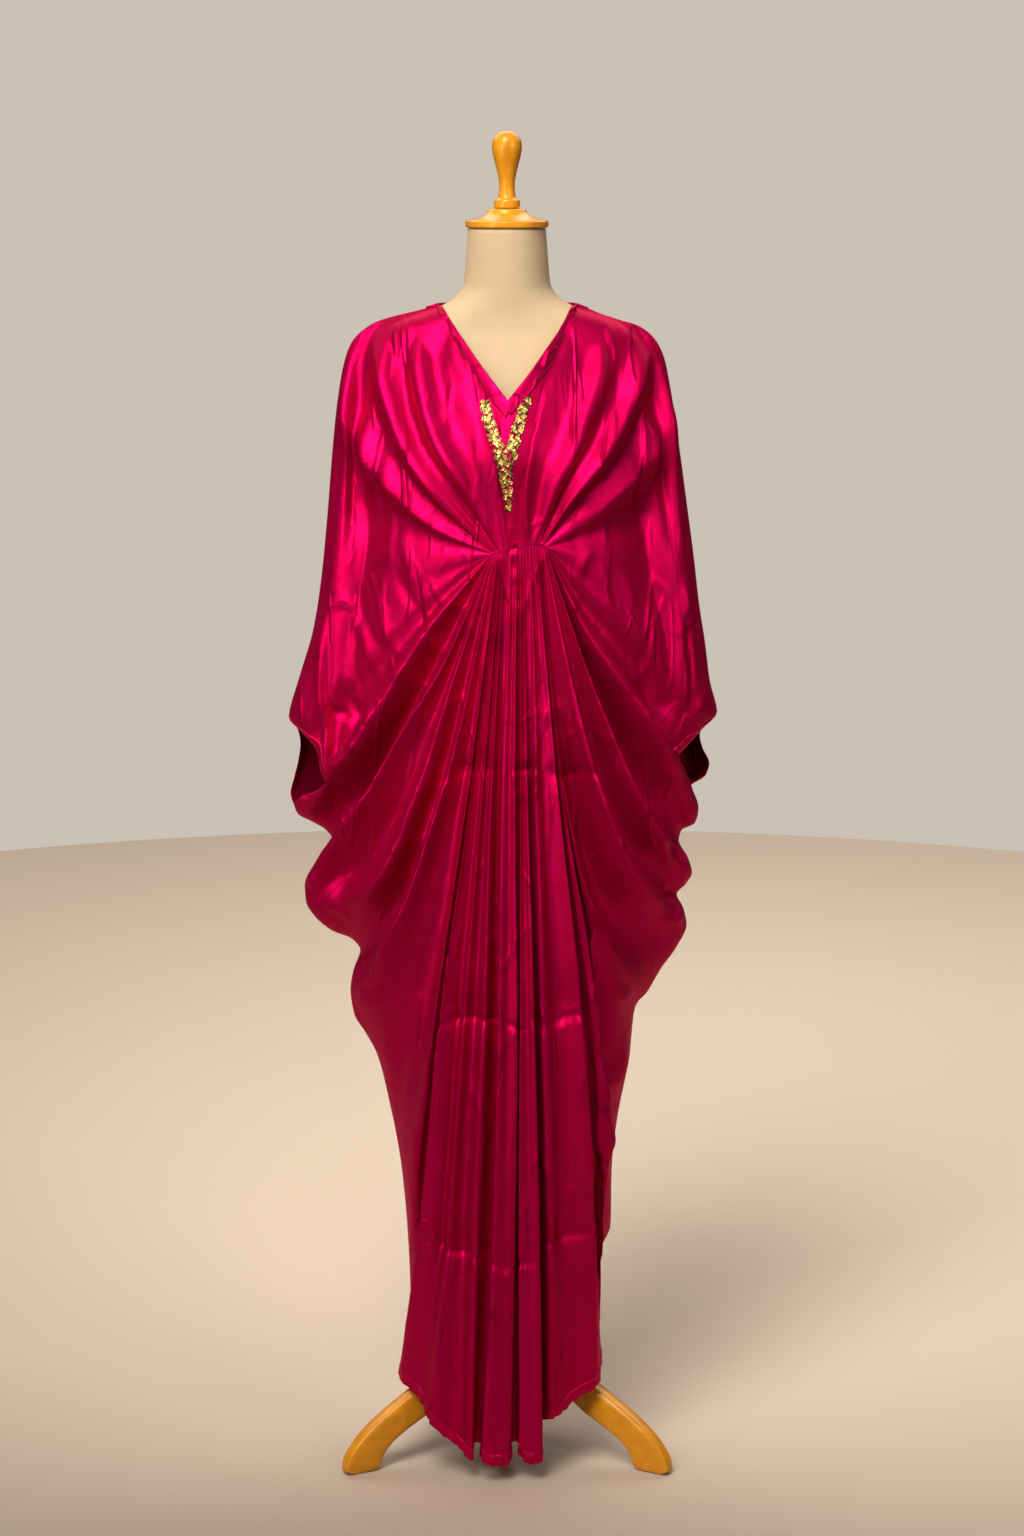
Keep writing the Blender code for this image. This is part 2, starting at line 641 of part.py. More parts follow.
def sheet(name, grid, material, facets=None, wall=WALL):
    """A cloth sheet through a grid of points, given its wall by Solidify, half to each side."""
    facets = facets or facets_of(grid)
    body = new_mesh_object(name, grid.reshape(-1, 3), facets, material)
    solid = body.modifiers.new("wall", "SOLIDIFY")
    solid.thickness = wall
    solid.offset = 0
    solid.use_even_offset = False
    solid.use_rim = True
    return body


def strip_on(grid, stations, width, lift, rows=2):
    """Points of a panel from its last row to a width in from it, moved off the panel along its normals."""
    normal = outward(grid)
    lines = []
    for i in stations:
        column = (grid + normal * lift)[::-1, i]
        run = np.concatenate([[0], np.cumsum(np.linalg.norm(np.diff(column, axis=0), axis=1))])
        at = np.linspace(0, width, rows + 1)
        lines.append(np.stack([np.interp(at, run, column[:, c]) for c in range(3)], axis=-1))
    return np.stack(lines, axis=1)


def facet_normals(grid, facets):
    """Normal at each point of a grid, from the facets that meet there, each weighed by its angle."""
    points = grid.reshape(-1, 3)
    facets = np.array(facets)
    total = np.zeros_like(points)
    for k in range(3):
        here, ahead, behind = (points[facets[:, (k + n) % 3]] for n in (0, 1, 2))
        one, two = ahead - here, behind - here
        cross = np.cross(one, two)
        size = np.linalg.norm(cross, axis=1).clip(1e-15)
        angle = np.arctan2(size, (one * two).sum(axis=1))
        np.add.at(total, facets[:, k], cross / size[:, None] * angle[:, None])
    total /= np.linalg.norm(total, axis=1, keepdims=True).clip(1e-12)
    return total.reshape(grid.shape)


def turned(name, profile, material, segments=40):
    """A round part from the outer side of its section, with a Screw modifier."""
    outline = [(0, profile[0][1])] + profile + [(0, profile[-1][1])]
    points = [(r * MM, 0, z * MM) for r, z in outline]
    mesh = bpy.data.meshes.new(name)
    mesh.from_pydata(points, [(i, i + 1) for i in range(len(points) - 1)], [])
    body = bpy.data.objects.new(name, mesh)
    bpy.data.collections[COLLECTION].objects.link(body)
    mesh.materials.append(bpy.data.materials[material])
    screw = body.modifiers.new("turn", "SCREW")
    screw.steps = segments
    screw.render_steps = segments
    screw.use_merge_vertices = True
    screw.merge_threshold = 0.00005
    return body


def torso():
    """Neck, shoulders, chest, waist and hips of the form, lofted through level sections."""
    z, half, front, back = columns_of(TORSO)
    turn = np.arange(TORSO_SIDES) / TORSO_SIDES * 2 * np.pi
    rings = []
    for height, width, ahead, behind in zip(z, half, front, back):
        x = width * np.cos(turn)
        lean = np.where(np.sin(turn) < 0, ahead, behind)
        y = lean * np.sin(turn)
        bump = sum(np.exp(-(((x - bx) ** 2 + (height - bz) ** 2) / BREAST_SIZE**2)) for bx, bz in BREASTS)
        y = y - BREAST_OUT * bump * np.clip(-np.sin(turn), 0, 1)
        rings.append(np.stack([x, y, np.full_like(x, height)], axis=-1) * MM)
    grid = np.array(rings)
    rows, count = grid.shape[:2]
    points = np.concatenate([grid.reshape(-1, 3), [[0, 0, z[0] * MM], [0, 0, z[-1] * MM]]])
    faces = []
    for j in range(rows - 1):
        for i in range(count):
            a, b = j * count + i, j * count + (i + 1) % count
            faces.append((a, b, b + count, a + count))
    for i in range(count):
        faces.append((rows * count, (i + 1) % count, i))
        faces.append((rows * count + 1, (rows - 1) * count + i, (rows - 1) * count + (i + 1) % count))
    return new_mesh_object("form_torso", points, faces, "form_canvas")


def leg(name, turn):
    """A curved board leg in an upright plane through the pole, its long edges rounded."""
    profile = LEG_TOP + LEG_FOOT
    half = LEG_THICKNESS / 2
    direction = np.array([math.sin(turn), -math.cos(turn), 0])
    side = np.array([math.cos(turn), math.sin(turn), 0])
    points = []
    for sign in (-1, 1):
        for r, z in profile:
            points.append(direction * r * MM + side * sign * half + np.array([0, 0, z * MM]))
    count = len(profile)
    faces = [tuple(range(count)), tuple(range(2 * count - 1, count - 1, -1))]
    for i in range(count):
        n = (i + 1) % count
        faces.append((i, i + count, n + count, n))
    body = new_mesh_object(name, points, faces, "honey_wood")
    face_out(body)
    bevel = body.modifiers.new("rounded edges", "BEVEL")
    bevel.width = 3.5 * MM
    bevel.segments = 2
    bevel.limit_method = "ANGLE"
    bevel.angle_limit = math.radians(60)
    return body


def face_out(body):
    work = bmesh.new()
    work.from_mesh(body.data)
    bmesh.ops.recalc_face_normals(work, faces=work.faces)
    work.to_mesh(body.data)
    work.free()


def gather_stay():
    """The narrow strip behind the gather that holds the fold ends, following the line of the slit."""
    line_x, line_z = columns_of(GATHER)
    x = np.linspace(line_x[0] - STAY_OVERLAP / MM, line_x[-1] + STAY_OVERLAP / MM, 15)
    z = smooth(x, line_x, line_z)
    y = -front_depth(x, z) + (WALL + BAND_WALL) / 2 / MM + STAY_SLACK / MM
    rows = []
    for up in (1, 0, -1):
        rows.append(np.stack([x, y + 0.25 * abs(up), z + up * STAY_HEIGHT / MM / 2], axis=-1) * MM)
    return np.array(rows)


def part_at_seams(front, back):
    """The two panels brought to one line at each seam, then set apart, so that their walls keep a gap."""
    front, back = front.copy(), back.copy()
    front_lean = np.abs(outward(front)[-1, :, 1])
    back_lean = np.abs(outward(back)[:, :, 1])
    for i in range(STATIONS):
        open_cuff = CUFF_TOP_LEFT < i < CUFF_FOOT_LEFT or CUFF_FOOT_RIGHT < i < CUFF_TOP_RIGHT
        if open_cuff or i < NECK_LEFT or i > NECK_RIGHT or HEM_LEFT < i < HEM_RIGHT:
            continue
        at = (i - NECK_LEFT, 0) if i <= HEM_LEFT else (NECK_RIGHT - i, -1)
        middle = (front[-1, i] + back[at]) / 2
        front[-1, i] = middle - (0, SEAM_GAP / 2 + WALL / 2 * front_lean[i], 0)
        back[at] = middle + (0, SEAM_GAP / 2 + WALL / 2 * back_lean[at], 0)
    return front, back


def materials():
    for name, (colour, metallic, roughness, coat) in MATERIALS.items():
        material = bpy.data.materials.new(name)
        material.use_nodes = True
        shader = material.node_tree.nodes["Principled BSDF"]
        shader.inputs["Base Color"].default_value = colour
        shader.inputs["Metallic"].default_value = metallic
        shader.inputs["Roughness"].default_value = roughness
        shader.inputs["Coat Weight"].default_value = coat
        material.diffuse_color = colour


def clear_scene():
    for item in list(bpy.data.objects):
        bpy.data.objects.remove(item)
    collection = bpy.data.collections.new(COLLECTION)
    bpy.context.scene.collection.children.link(collection)


def cloth(tree):
    u = np.arange(STATIONS, dtype=float)
    laid = front_panel_points(u, front_rows(u)) * MM
    front_facets = facets_of(laid, closed=True)
    front = clear_of_form(laid, front_facets, tree)
    k = np.arange(HEM_LEFT - NECK_LEFT + 1, dtype=float)
    s = 2 * even_rows(BACK_COLUMNS) - 1
    back = back_panel_points(k, s) * MM
    back_facets = facets_of(back)
    back = clear_of_form(back, back_facets, tree)
    front, back = part_at_seams(front, back)
    front = clear_of_form(front, front_facets, tree)
    sheet("front_panel", front, "magenta_satin", front_facets)
    sheet("back_panel", back, "magenta_satin", back_facets)
    sheet("gather_stay", gather_stay(), "satin_band", wall=BAND_WALL)
    bands(laid, front, front_facets, back)


def tree_of(body):
    bpy.context.view_layer.update()
    return BVHTree.FromObject(body, bpy.context.evaluated_depsgraph_get())


def bands(laid, front, front_facets, back):
    """The neckband in three lengths, laid on the outside along the V and the back neck, mitred at the V."""
    lift = (WALL + BAND_WALL) / 2 + LAY_GAP
    panel_normal = facet_normals(front, front_facets)[-3:]
    left_at = list(range(V_BOTTOM, NECK_LEFT + 1))
    right_at = list(range(NECK_RIGHT, STATIONS)) + [V_BOTTOM]
    for name, stations, end, away in (("neckband_left", left_at, 0, -1), ("neckband_right", right_at, -1, 1)):
        facets = facets_of(laid[-3:, stations])
        strip = front[-3:, stations]
        normal = facet_normals(strip, facets) + panel_normal[:, stations]
        normal /= np.linalg.norm(normal, axis=-1, keepdims=True)
        strip = strip + normal * np.sign((normal * outward(strip)).sum()) * lift
        strip[:, end, 0] += away * MITRE_GAP
        sheet(name, strip, "satin_band", facets, BAND_WALL)
    behind = strip_on(back[::-1], range(1, BACK_COLUMNS), NECKBAND_WIDTH, lift)
    sheet("neckband_back", behind, "satin_band", wall=BAND_WALL)


def main():
    clear_scene()
    materials()
    body = torso()
    cloth(tree_of(body))
    turned("neck_cap", CAP_PROFILE, "honey_wood", 32)
    turned("neck_knob", KNOB_PROFILE, "honey_wood", 24)
    pole_top = TORSO_FOOT / MM - PART_GAP / MM
    pole_foot = HUB_TOP / MM + PART_GAP / MM
    radius = POLE_RADIUS / MM
    turned("pole", [(radius, pole_top), (radius, pole_foot)], "stand_steel", 24)
    hub, top, foot = HUB_RADIUS / MM, HUB_TOP / MM, HUB_FOOT / MM
    turned("hub", [(hub - 6, top), (hub, top - 6), (hub, foot + 6), (hub - 6, foot)], "honey_wood", 24)
    leg("leg_front_left", -LEG_TURN)
    leg("leg_front_right", LEG_TURN)
    leg("leg_back", math.pi)
    for item in bpy.data.collections[COLLECTION].objects:
        item.location = POLE_AT


main()
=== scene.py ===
"""Looks of the draped kaftan on its dress form: satin shells, bands, stitching, trim, form and stand."""

import math

import bmesh
import bpy
import numpy as np
from bpy.props import FloatProperty, FloatVectorProperty, IntProperty, PointerProperty
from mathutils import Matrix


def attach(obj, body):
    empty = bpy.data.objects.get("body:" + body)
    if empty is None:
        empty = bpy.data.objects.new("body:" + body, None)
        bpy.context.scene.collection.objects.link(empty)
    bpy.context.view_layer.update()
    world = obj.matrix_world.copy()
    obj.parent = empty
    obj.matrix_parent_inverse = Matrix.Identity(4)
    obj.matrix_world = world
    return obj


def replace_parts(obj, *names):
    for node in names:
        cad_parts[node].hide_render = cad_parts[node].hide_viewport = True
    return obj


bl_info = {
    "name": "Draped kaftan on a dress form",
    "version": (1, 0, 0),
    "blender": (4, 5, 0),
    "location": "3D View > Sidebar > Kaftan",
    "description": "Builds a draped satin kaftan, its sequin trim and the dress form that it rests on",
    "category": "Add Mesh",
}

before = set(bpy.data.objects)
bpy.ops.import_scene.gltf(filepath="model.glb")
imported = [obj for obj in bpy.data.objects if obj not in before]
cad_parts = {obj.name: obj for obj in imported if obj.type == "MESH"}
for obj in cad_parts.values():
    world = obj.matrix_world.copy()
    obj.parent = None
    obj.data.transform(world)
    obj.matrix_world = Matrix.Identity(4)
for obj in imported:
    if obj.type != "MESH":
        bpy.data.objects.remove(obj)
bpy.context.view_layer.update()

MM = 0.001


def table(text):
    """Columns of numbers from text whose rows are parted by commas."""
    return np.array([row.split() for row in text.split(",")], float).T


# The pole's place in the frame, in metres: the tables below count from the pole, in millimetres
POLE = np.array([5.0, -37.7, 0.0]) * MM

# Stations round the edge of the front panel
V_BOTTOM, NECK_LEFT, CUFF_TOP_LEFT, CUFF_FOOT_LEFT, HEM_LEFT = 0, 6, 20, 26, 48
HEM_RIGHT, CUFF_FOOT_RIGHT, CUFF_TOP_RIGHT, NECK_RIGHT, STATIONS = 92, 114, 120, 134, 140

# Columns of the front shell between stations on its left half: from, to, how many
COLUMNS = [(0, 6, 22), (6, 14, 46), (14, 20, 30), (20, 26, 24), (26, 48, 102), (48, 70, 76)]
FRONT_ROWS, BACK_COLUMNS = 164, 220

# Rows lie closer at both ends and across the skirt's pressed creases: where, half width, how much closer
CLOSER_ROWS = [(0, 0.05, 1.2), (0.243, 0.022, 3.2), (0.507, 0.022, 3.2), (0.775, 0.026, 3.2), (1, 0.03, 1.0)]

# Edge of the front panel: station, x, y, z
EDGE_FRONT = table("""
    0 1 -112 1296, 1.5 -19 -98 1321, 3 -39 -78 1347, 4.5 -59 -50 1374, 6 -82 -5 1400, 7 -97 0 1395,
    8 -113 1 1391, 9 -130 2 1387, 10 -150 2 1381, 11 -168 1 1371, 12 -183 0 1355, 13 -192 0 1330,
    14 -200 0 1285, 15 -206 0 1230, 16 -213 0 1150, 17 -221 0 1075, 18 -231 0 1015, 19 -246 0 965,
    20 -261 0 912, 21 -246 -20 897, 22 -226 -38 876, 23 -221 -46 852, 24 -214 -47 834, 25 -232 -34 818,
    26 -256 -5 806, 27 -252 0 793, 28 -236 4 783, 29 -219 6 772, 30 -211 6 760, 31 -222 4 742,
    32 -236 0 725, 33 -244 -2 706, 34 -243 0 685, 35 -232 2 665, 36 -212 4 648, 37 -188 8 637,
    38 -178 8 622, 39 -186 2 600, 40 -190 0 575, 41 -186 2 545, 42 -171 5 518, 43 -158 6 492, 44 -143 4 430,
    45 -130 0 360, 46 -122 0 270, 47 -119 0 180, 48 -119 0 105, 50 -124 -44 104, 52 -120 -76 96,
    54 -106 -98 82, 56 -88 -112 64, 58 -70 -121 45, 60 -55 -127 34, 62 -44 -129 27, 64 -36 -124 40,
    66 -28 -134 30, 68 -16 -139 22, 70 -3 -138 22, 72 4 -129 34, 73 9 -124 42, 75 18 -130 33, 77 27 -136 23,
    79 37 -133 26, 80 39 -126 37, 81 38 -112 64, 83 52 -116 73, 85 68 -111 78, 87 86 -99 92, 89 106 -82 108,
    90 117 -66 118, 91 121 -36 119, 92 115 0 118, 93 112 0 152, 94 108 0 192, 95 110 0 238, 96 127 0 280,
    97 128 0 350, 98 134 2 410, 99 148 5 485, 100 156 5 554, 101 171 3 573, 102 186 2 600, 103 205 0 628,
    104 217 0 655, 105 213 3 676, 106 205 5 692, 107 216 2 706, 108 223 0 720, 109 218 3 738, 110 207 5 758,
    111 210 5 771, 112 226 0 781, 113 230 -2 800, 114 219 -5 826, 115 205 -32 833, 116 191 -46 841,
    117 190 -49 857, 118 209 -40 877, 119 232 -20 899, 120 251 0 918, 121 242 0 955, 122 236 0 1000,
    123 228 0 1050, 124 222 0 1100, 125 213 0 1165, 126 206 0 1215, 127 199 0 1262, 128 191 0 1310,
    129 184 0 1340, 130 171 1 1363, 131 152 2 1376, 132 132 2 1382, 133 108 1 1390, 134 82 -5 1400,
    135.5 61 -50 1373, 137 41 -78 1346, 138.5 22 -98 1321, 140 1 -112 1296
""")

# Back edges of the two cuffs: station, x, y, z
EDGE_BACK_CUFFS = table("""
    21 -251 14 893, 22 -249 30 874, 23 -252 38 852, 24 -257 36 832, 25 -261 20 815, 115 239 18 836,
    116 244 33 849, 117 236 38 866, 118 232 30 884, 119 241 15 902
""")

# How the front turns into its edge: station, where along the rows the turn starts, how round it is
SEAM_TURN = table("""
    0 0 1, 2 0 1, 11 .62 .5, 46 .7 .5, 52 0 1, 88 0 1, 94 .7 .5, 129 .62 .5, 138 0 1, 140 0 1
""")

# Folds of the front panel, one row a fold line from the gather to the edge: station; x and z at a quarter,
# half and three quarters of its length; how far it stands out there and at the edge; crease, 1 sharp to 2
# round
FOLDS = table("""
    0 8 1170 5 1212 3 1254 0 0 0 0 2, 3 1 1165 -7 1222 -21 1285 -2 -3 -2 0 2,
    6 -13 1195 -34 1263 -61 1330 3 3 -1 0 1.6, 6.7 -28 1193 -58 1258 -82 1327 -3 -4 -2 0 1.6,
    7.4 -44 1191 -82 1252 -103 1324 7 9 7 0 1.4, 8.8 -57 1184 -99 1245 -123 1316 -4 -7 -6 0 1.8,
    10.4 -70 1176 -115 1236 -143 1306 7 9 7 0 1.4, 12 -79 1167 -131 1221 -166 1290 -6 -9 -9 0 1.8,
    13.6 -88 1152 -146 1203 -182 1258 3 5 6 0 1.5, 15 -88 1138 -150 1168 -190 1200 -3 -7 -9 0 2,
    17 -82 1113 -142 1102 -195 1087 3 5 5 0 2, 20 -84 1082 -148 1028 -212 958 0 2 4 0 2,
    23 -86 1056 -141 988 -190 914 -4 -8 -9 0 2, 26 -88 1030 -134 950 -184 872 14 22 26 0 1.7,
    29.6 -78 1008 -129 920 -180 830 -14 -26 -28 0 2, 32.3 -71 992 -126 898 -178 802 10 15 15 0 1.1,
    34.3 -69 974 -113 873 -161 771 -5 -11 -14 0 2, 35.8 -66 958 -100 850 -142 743 7 13 14 0 1.5,
    37.8 -57 944 -92 824 -133 707 -11 -22 -24 0 2, 40.3 -50 932 -85 802 -127 676 8 15 16 0 1.3,
    43 -47 880 -79 700 -112 565 -8 -15 -16 0 2, 45.4 -45 850 -76 630 -104 430 3 5 4 0 1.7,
    48 -44 835 -75 600 -102 350 -5 -9 -8 0 2, 50.6 -43 818 -71 575 -92 331 7 12 12 9 1.2,
    53.5 -37 822 -60 574 -80 328 -4 -7 -8 -6 2, 56 -31 815 -50 570 -67 322 4 6 6 6 1.4,
    59 -25 830 -40 575 -54 316 -4 -6 -6 -5 2, 62 -18 840 -26 578 -36 315 5 7 8 7 1.3,
    64 -10 847 -13 580 -21 314 -8 -15 -17 -13 1.2, 66.5 -5 848 -7 580 -12 312 6 10 10 8 1.5,
    69 2 849 1 580 -3 311 2 3 4 4 2, 71 8 849 9 580 5 311 5 8 7 5 1.4,
    73 14 849 14 579 11 310 -7 -14 -15 -11 1.2, 75 17 850 18 582 17 315 5 7 6 5 1.5,
    77 20 853 23 588 25 325 1 1 1 3 2, 79 23 856 28 594 33 333 5 8 8 8 1.3,
    81 26 857 32 598 37 339 -8 -15 -17 -10 1.1, 83 33 855 42 598 49 342 4 7 7 5 1.5,
    86 45 845 61 594 70 343 -3 -4 -4 -3 2, 88.6 60 828 84 586 96 345 7 12 14 10 1.2,
    90.6 63 820 93 565 106 337 -5 -10 -10 -5 2, 93 66 812 103 545 114 330 2 3 2 0 2,
    95 65 835 99 630 117 430 4 6 5 0 1.6, 97.6 60 880 88 730 116 580 -7 -14 -15 0 2,
    100.6 53 939 70 811 102 686 8 16 17 0 1.3, 102.4 62 948 85 830 121 712 -9 -20 -21 0 2,
    104.4 74 967 102 853 143 744 9 14 14 0 1.4, 106.2 79 985 110 878 151 776 -8 -17 -17 0 2,
    108 84 1003 118 906 160 810 9 14 14 0 1.2, 110.5 83 1018 122 932 166 846 -13 -24 -24 0 2,
    113.2 85 1034 128 963 171 893 14 22 24 0 1.6, 117 88 1060 138 994 180 918 -5 -7 -7 0 2,
    120 88 1085 150 1032 206 965 2 4 5 0 2, 123 85 1115 143 1104 192 1083 4 5 5 0 2,
    125 92 1140 151 1163 187 1188 -3 -6 -7 0 2, 127 88 1155 146 1200 179 1243 3 5 5 0 1.5,
    128.5 80 1172 131 1220 166 1280 -6 -9 -9 0 1.8, 130 73 1184 116 1238 149 1300 7 9 7 0 1.4,
    131.4 65 1190 100 1247 127 1310 -4 -7 -6 0 1.8, 132.8 56 1195 83 1256 104 1320 7 9 7 0 1.4,
    133.4 40 1199 61 1263 84 1328 -3 -4 -2 0 1.6, 134.2 22 1201 36 1268 60 1334 4 3 -1 0 1.6,
    137 15 1182 25 1230 34 1288 -2 -3 -2 0 2, 140 8 1170 5 1212 3 1254 0 0 0 0 2
""")
FOLD_MARKS = np.linspace(0, 1, 5)

# Stations round the gather: station, x
SLIT_X = table("""
    0 10, 3 5, 6 -1, 7.4 -7, 10.4 -13, 13.6 -16, 17 -18, 20 -19, 23 -19.4, 26 -19, 32 -17.5, 36 -15.5,
    40 -13, 48 -9, 56 -5.5, 64 -1, 73 14, 81 23, 88.6 32, 93 35, 100 39, 104 42, 108 45, 113 47, 117 47.4,
    120 47, 123 46, 127 44, 130 40, 132.8 34, 134 26, 137 18, 140 10
""")
SLIT_FOOT_FROM, SLIT_FOOT_TO = 23, 117
SLIT_HALF, SLIT_ROUND = 0.25, 2.0

# Line of the gather: x, z
GATHER = table("-20 1119, -4 1122, 8 1126, 17 1128.5, 28 1131.5, 37 1130, 48 1125.5")

# Depth of the front and of the back: z, body, body half width, wing
FRONT_DEPTH = table("""
    20 128 138 10, 200 130 138 12, 400 135 152 30, 600 140 190 55, 800 137 210 62, 1000 128 190 52,
    1125 121 165 42, 1220 124 178 38, 1300 99 178 30, 1360 62 160 14, 1400 14 130 4
""")
BACK_DEPTH = table("""
    20 122 130 10, 200 122 132 14, 400 126 150 34, 600 136 185 58, 800 135 200 62, 1000 118 185 52,
    1125 104 168 44, 1220 104 176 40, 1300 98 178 32, 1360 84 160 18, 1400 66 120 8
""")

# Swellings over the breasts, in the cloth and in the form: x and z of their middles, size, height
BUST, BUST_SIZE, BUST_OUT = ((-78, 1215), (84, 1218)), 62 / 1.6**0.5, 10
BREASTS, BREAST_SIZE, BREAST_OUT = ((-70, 1212), (70, 1212)), 48, 11

# Cowls that pass round the sides to the back: station left, station right, stands out, sag
COWLS = table("""
    6 134 0 2, 12 128 0 0, 20 120 0 6, 26 113 19 44, 30 110.4 -17 54, 33 108 17 60, 35 106 -9 62,
    36 104 9 62, 37.7 102.4 -16 60, 40 100.4 15 52, 43 98 -10 34, 45 96 4 10, 48 92 0 -34
""")
COWL_MIDDLE, COWL_WIDTH = 0.8, 0.22

# Where the back turns into its seams, and where its rows start to follow the seams' own waves
BACK_TURN, BACK_WAVES, BACK_WAVE_POWER = 0.62, 0.5, 1.5

# Stations whose seam points give the even run of the back between its sides: left, right
BACK_RUN = table("6 134, 13 127, 20 120, 26 114, 33 108, 40 100, 45 95, 48 92")

# Long soft folds of the back: x at the shoulders and at the hem, half width there and at the hem, height
BACK_FOLDS = table("""
    -96 -92 13 15 7, -58 -52 11 14 9, -22 -14 10 13 7, 18 24 10 14 9, 52 60 11 13 8, 92 94 12 14 6
""")
BACK_FOLDS_TOP, BACK_FOLDS_RUN, BACK_FOLDS_SUNK = 1330, 1300, 3

# Creases of the front panel: x, z at one end and the other, bow, width, how far it stands out
FRONT_CREASES = table("""
    -181 1346 -192 1209 0 8 4, -175 1331 -182 1104 4 9 -8, -187 1314 -193 1104 0 5 4,
    -164 1323 -158 1152 3 7 5, -152 1292 -144 1106 4 6 -3, -138 1225 -129 1085 4 6 3,
    -198 1267 -208 1104 2 5 -3.5, -204 1151 -218 998 3 5 -3.5, -218 1010 -237 916 2 6 -3,
    -213 1057 -216 904 3 6 5, -207 1045 -209 856 4 7 -4.5, -218 904 -214 830 2 6 5,
    -201 1081 -151 956 -6 5 2, -182 1104 -144 992 4 5 -2, -151 1071 -113 971 6 6 2,
    -132 1108 -78 1020 6 6 -2.5, -190 1057 -158 1013 3 5 2, -197 963 -153 884 5 6 -2.5,
    -165 1058 -182 941 3 5 -2, -122 1156 -96 1065 4 6 2.5, -91 1094 -64 1052 3 5 1.8,
    -158 955 -134 897 4 5 2, 181 1346 203 1209 0 8 4, 173 1327 193 1104 -4 9 -8, 186 1314 208 1104 0 5 4,
    164 1314 172 1151 -3 7 5, 150 1270 156 1105 -4 6 -3, 204 1256 216 1104 -2 5 -3.5,
    213 1104 230 940 -2 5 -3, 208 1083 220 1010 3 5 5, 214 1057 218 951 3 5 -5, 203 1057 209 940 2 6 3,
    220 951 200 886 3 7 -5, 230 940 216 892 2 6 4, 127 1108 156 991 -5 6 2.2, 144 1072 174 953 4 6 -2.4,
    108 1110 134 1016 5 5 2, 170 1057 190 917 4 6 2.5, 156 1014 183 900 3 6 -2.4, 93 1193 80 1112 4 7 -2.2,
    99 1128 78 1079 4 6 2.6, -71 1386 -42 1304 4 6 2.6, -85 1390 -63 1273 6 6 -2.6,
    -97 1385 -81 1251 6 6 2.4, -113 1381 -114 1261 4 7 -2.4, -139 1365 -143 1282 2 8 2.4,
    -158 1359 -162 1269 2 7 -2, 78 1388 57 1326 -4 6 2.6, 92 1385 77 1273 -6 6 -2.6,
    108 1381 100 1250 -6 6 2.4, 127 1374 128 1260 -4 7 -2.4, 151 1362 155 1281 -2 8 2.4,
    -33 1273 -19 1136 2 5 2, -45 1251 -26 1131 4 5 -2, 27 1262 20 1136 -2 5 2, 39 1251 27 1136 -3 5 -2,
    52 1240 36 1136 -4 6 2, 2 1291 4 1268 0 3 -1.2, -83 847 -43 876 -3 5 -3, -52 872 -8 870 -1 5 -3,
    1 870 41 872 0 5 -3, 44 872 76 857 2 5 -3, 62 855 116 866 -3 5 -3, -84 557 -39 579 -3 5 -3.2,
    -48 574 -6 571 0 5 -3.2, -6 573 27 560 1 4 -2.6, 25 580 51 559 0 5 -3.2, 44 562 100 587 2 5 -3.4,
    -105 295 -25 278 2 5 -3.2, -27 288 1 264 0 5 -3, -1 269 37 277 0 5 -3, 30 293 107 305 2 5 -3.4,
    -73 582 -8 582 0 26 -5, 34 582 100 592 0 26 -5, -99 294 -26 288 0 26 -5, 34 302 102 311 0 26 -5,
    -77 864 -15 877 0 20 -3, 44 869 112 859 0 20 -3, -92 946 -239 714 -5 5 6, -71 932 -211 704 -6 12 -8,
    -122 789 -224 683 -24 5.5 7, -120 816 -220 706 -12 13 -7, -184 683 -220 687 3 10 7,
    -63 947 -157 574 0 4.5 5, -48 881 -134 599 0 8 -6, -121 959 -240 813 -12 5 5,
    -99 944 -210 789 -12 12 -7, -182 557 -148 592 0 7 7, -225 724 -242 709 0 6 6, -196 588 -145 647 3 9 -7,
    -132 575 -144 399 -3 7 -5, -142 547 -163 460 -3 7 4, 100 960 207 725 8 5 6, 111 902 196 702 12 13 -8,
    73 962 187 671 15 5 7, 78 868 173 626 18 14 -8, 179 673 218 677 5 8 8, 137 958 206 822 3 6 5,
    122 940 198 788 6 12 -7, 89 726 134 577 2 5 6, 78 762 117 565 3 9 -7, 183 773 213 741 0 7 -6,
    179 695 211 704 0 6 -6, 122 599 148 581 0 7 6, 149 524 106 458 -10 14 10, 111 457 116 386 3 12 6,
    115 578 98 480 -4 8 -8, 118 437 101 384 -6 10 4, 106 376 112 285 3 8 -6, -213 951 -209 849 3 6 6,
    -223 932 -219 856 2 6 -6, -192 926 -185 849 3 7 5, -180 941 -170 868 3 7 -5, -214 925 -187 922 0 5 -4,
    -244 897 -219 873 2 5 4, 199 940 204 878 -3 6 6, 216 932 209 868 -3 6 -5, 185 933 195 883 -3 7 5,
    173 928 185 875 0 6 -5
""")

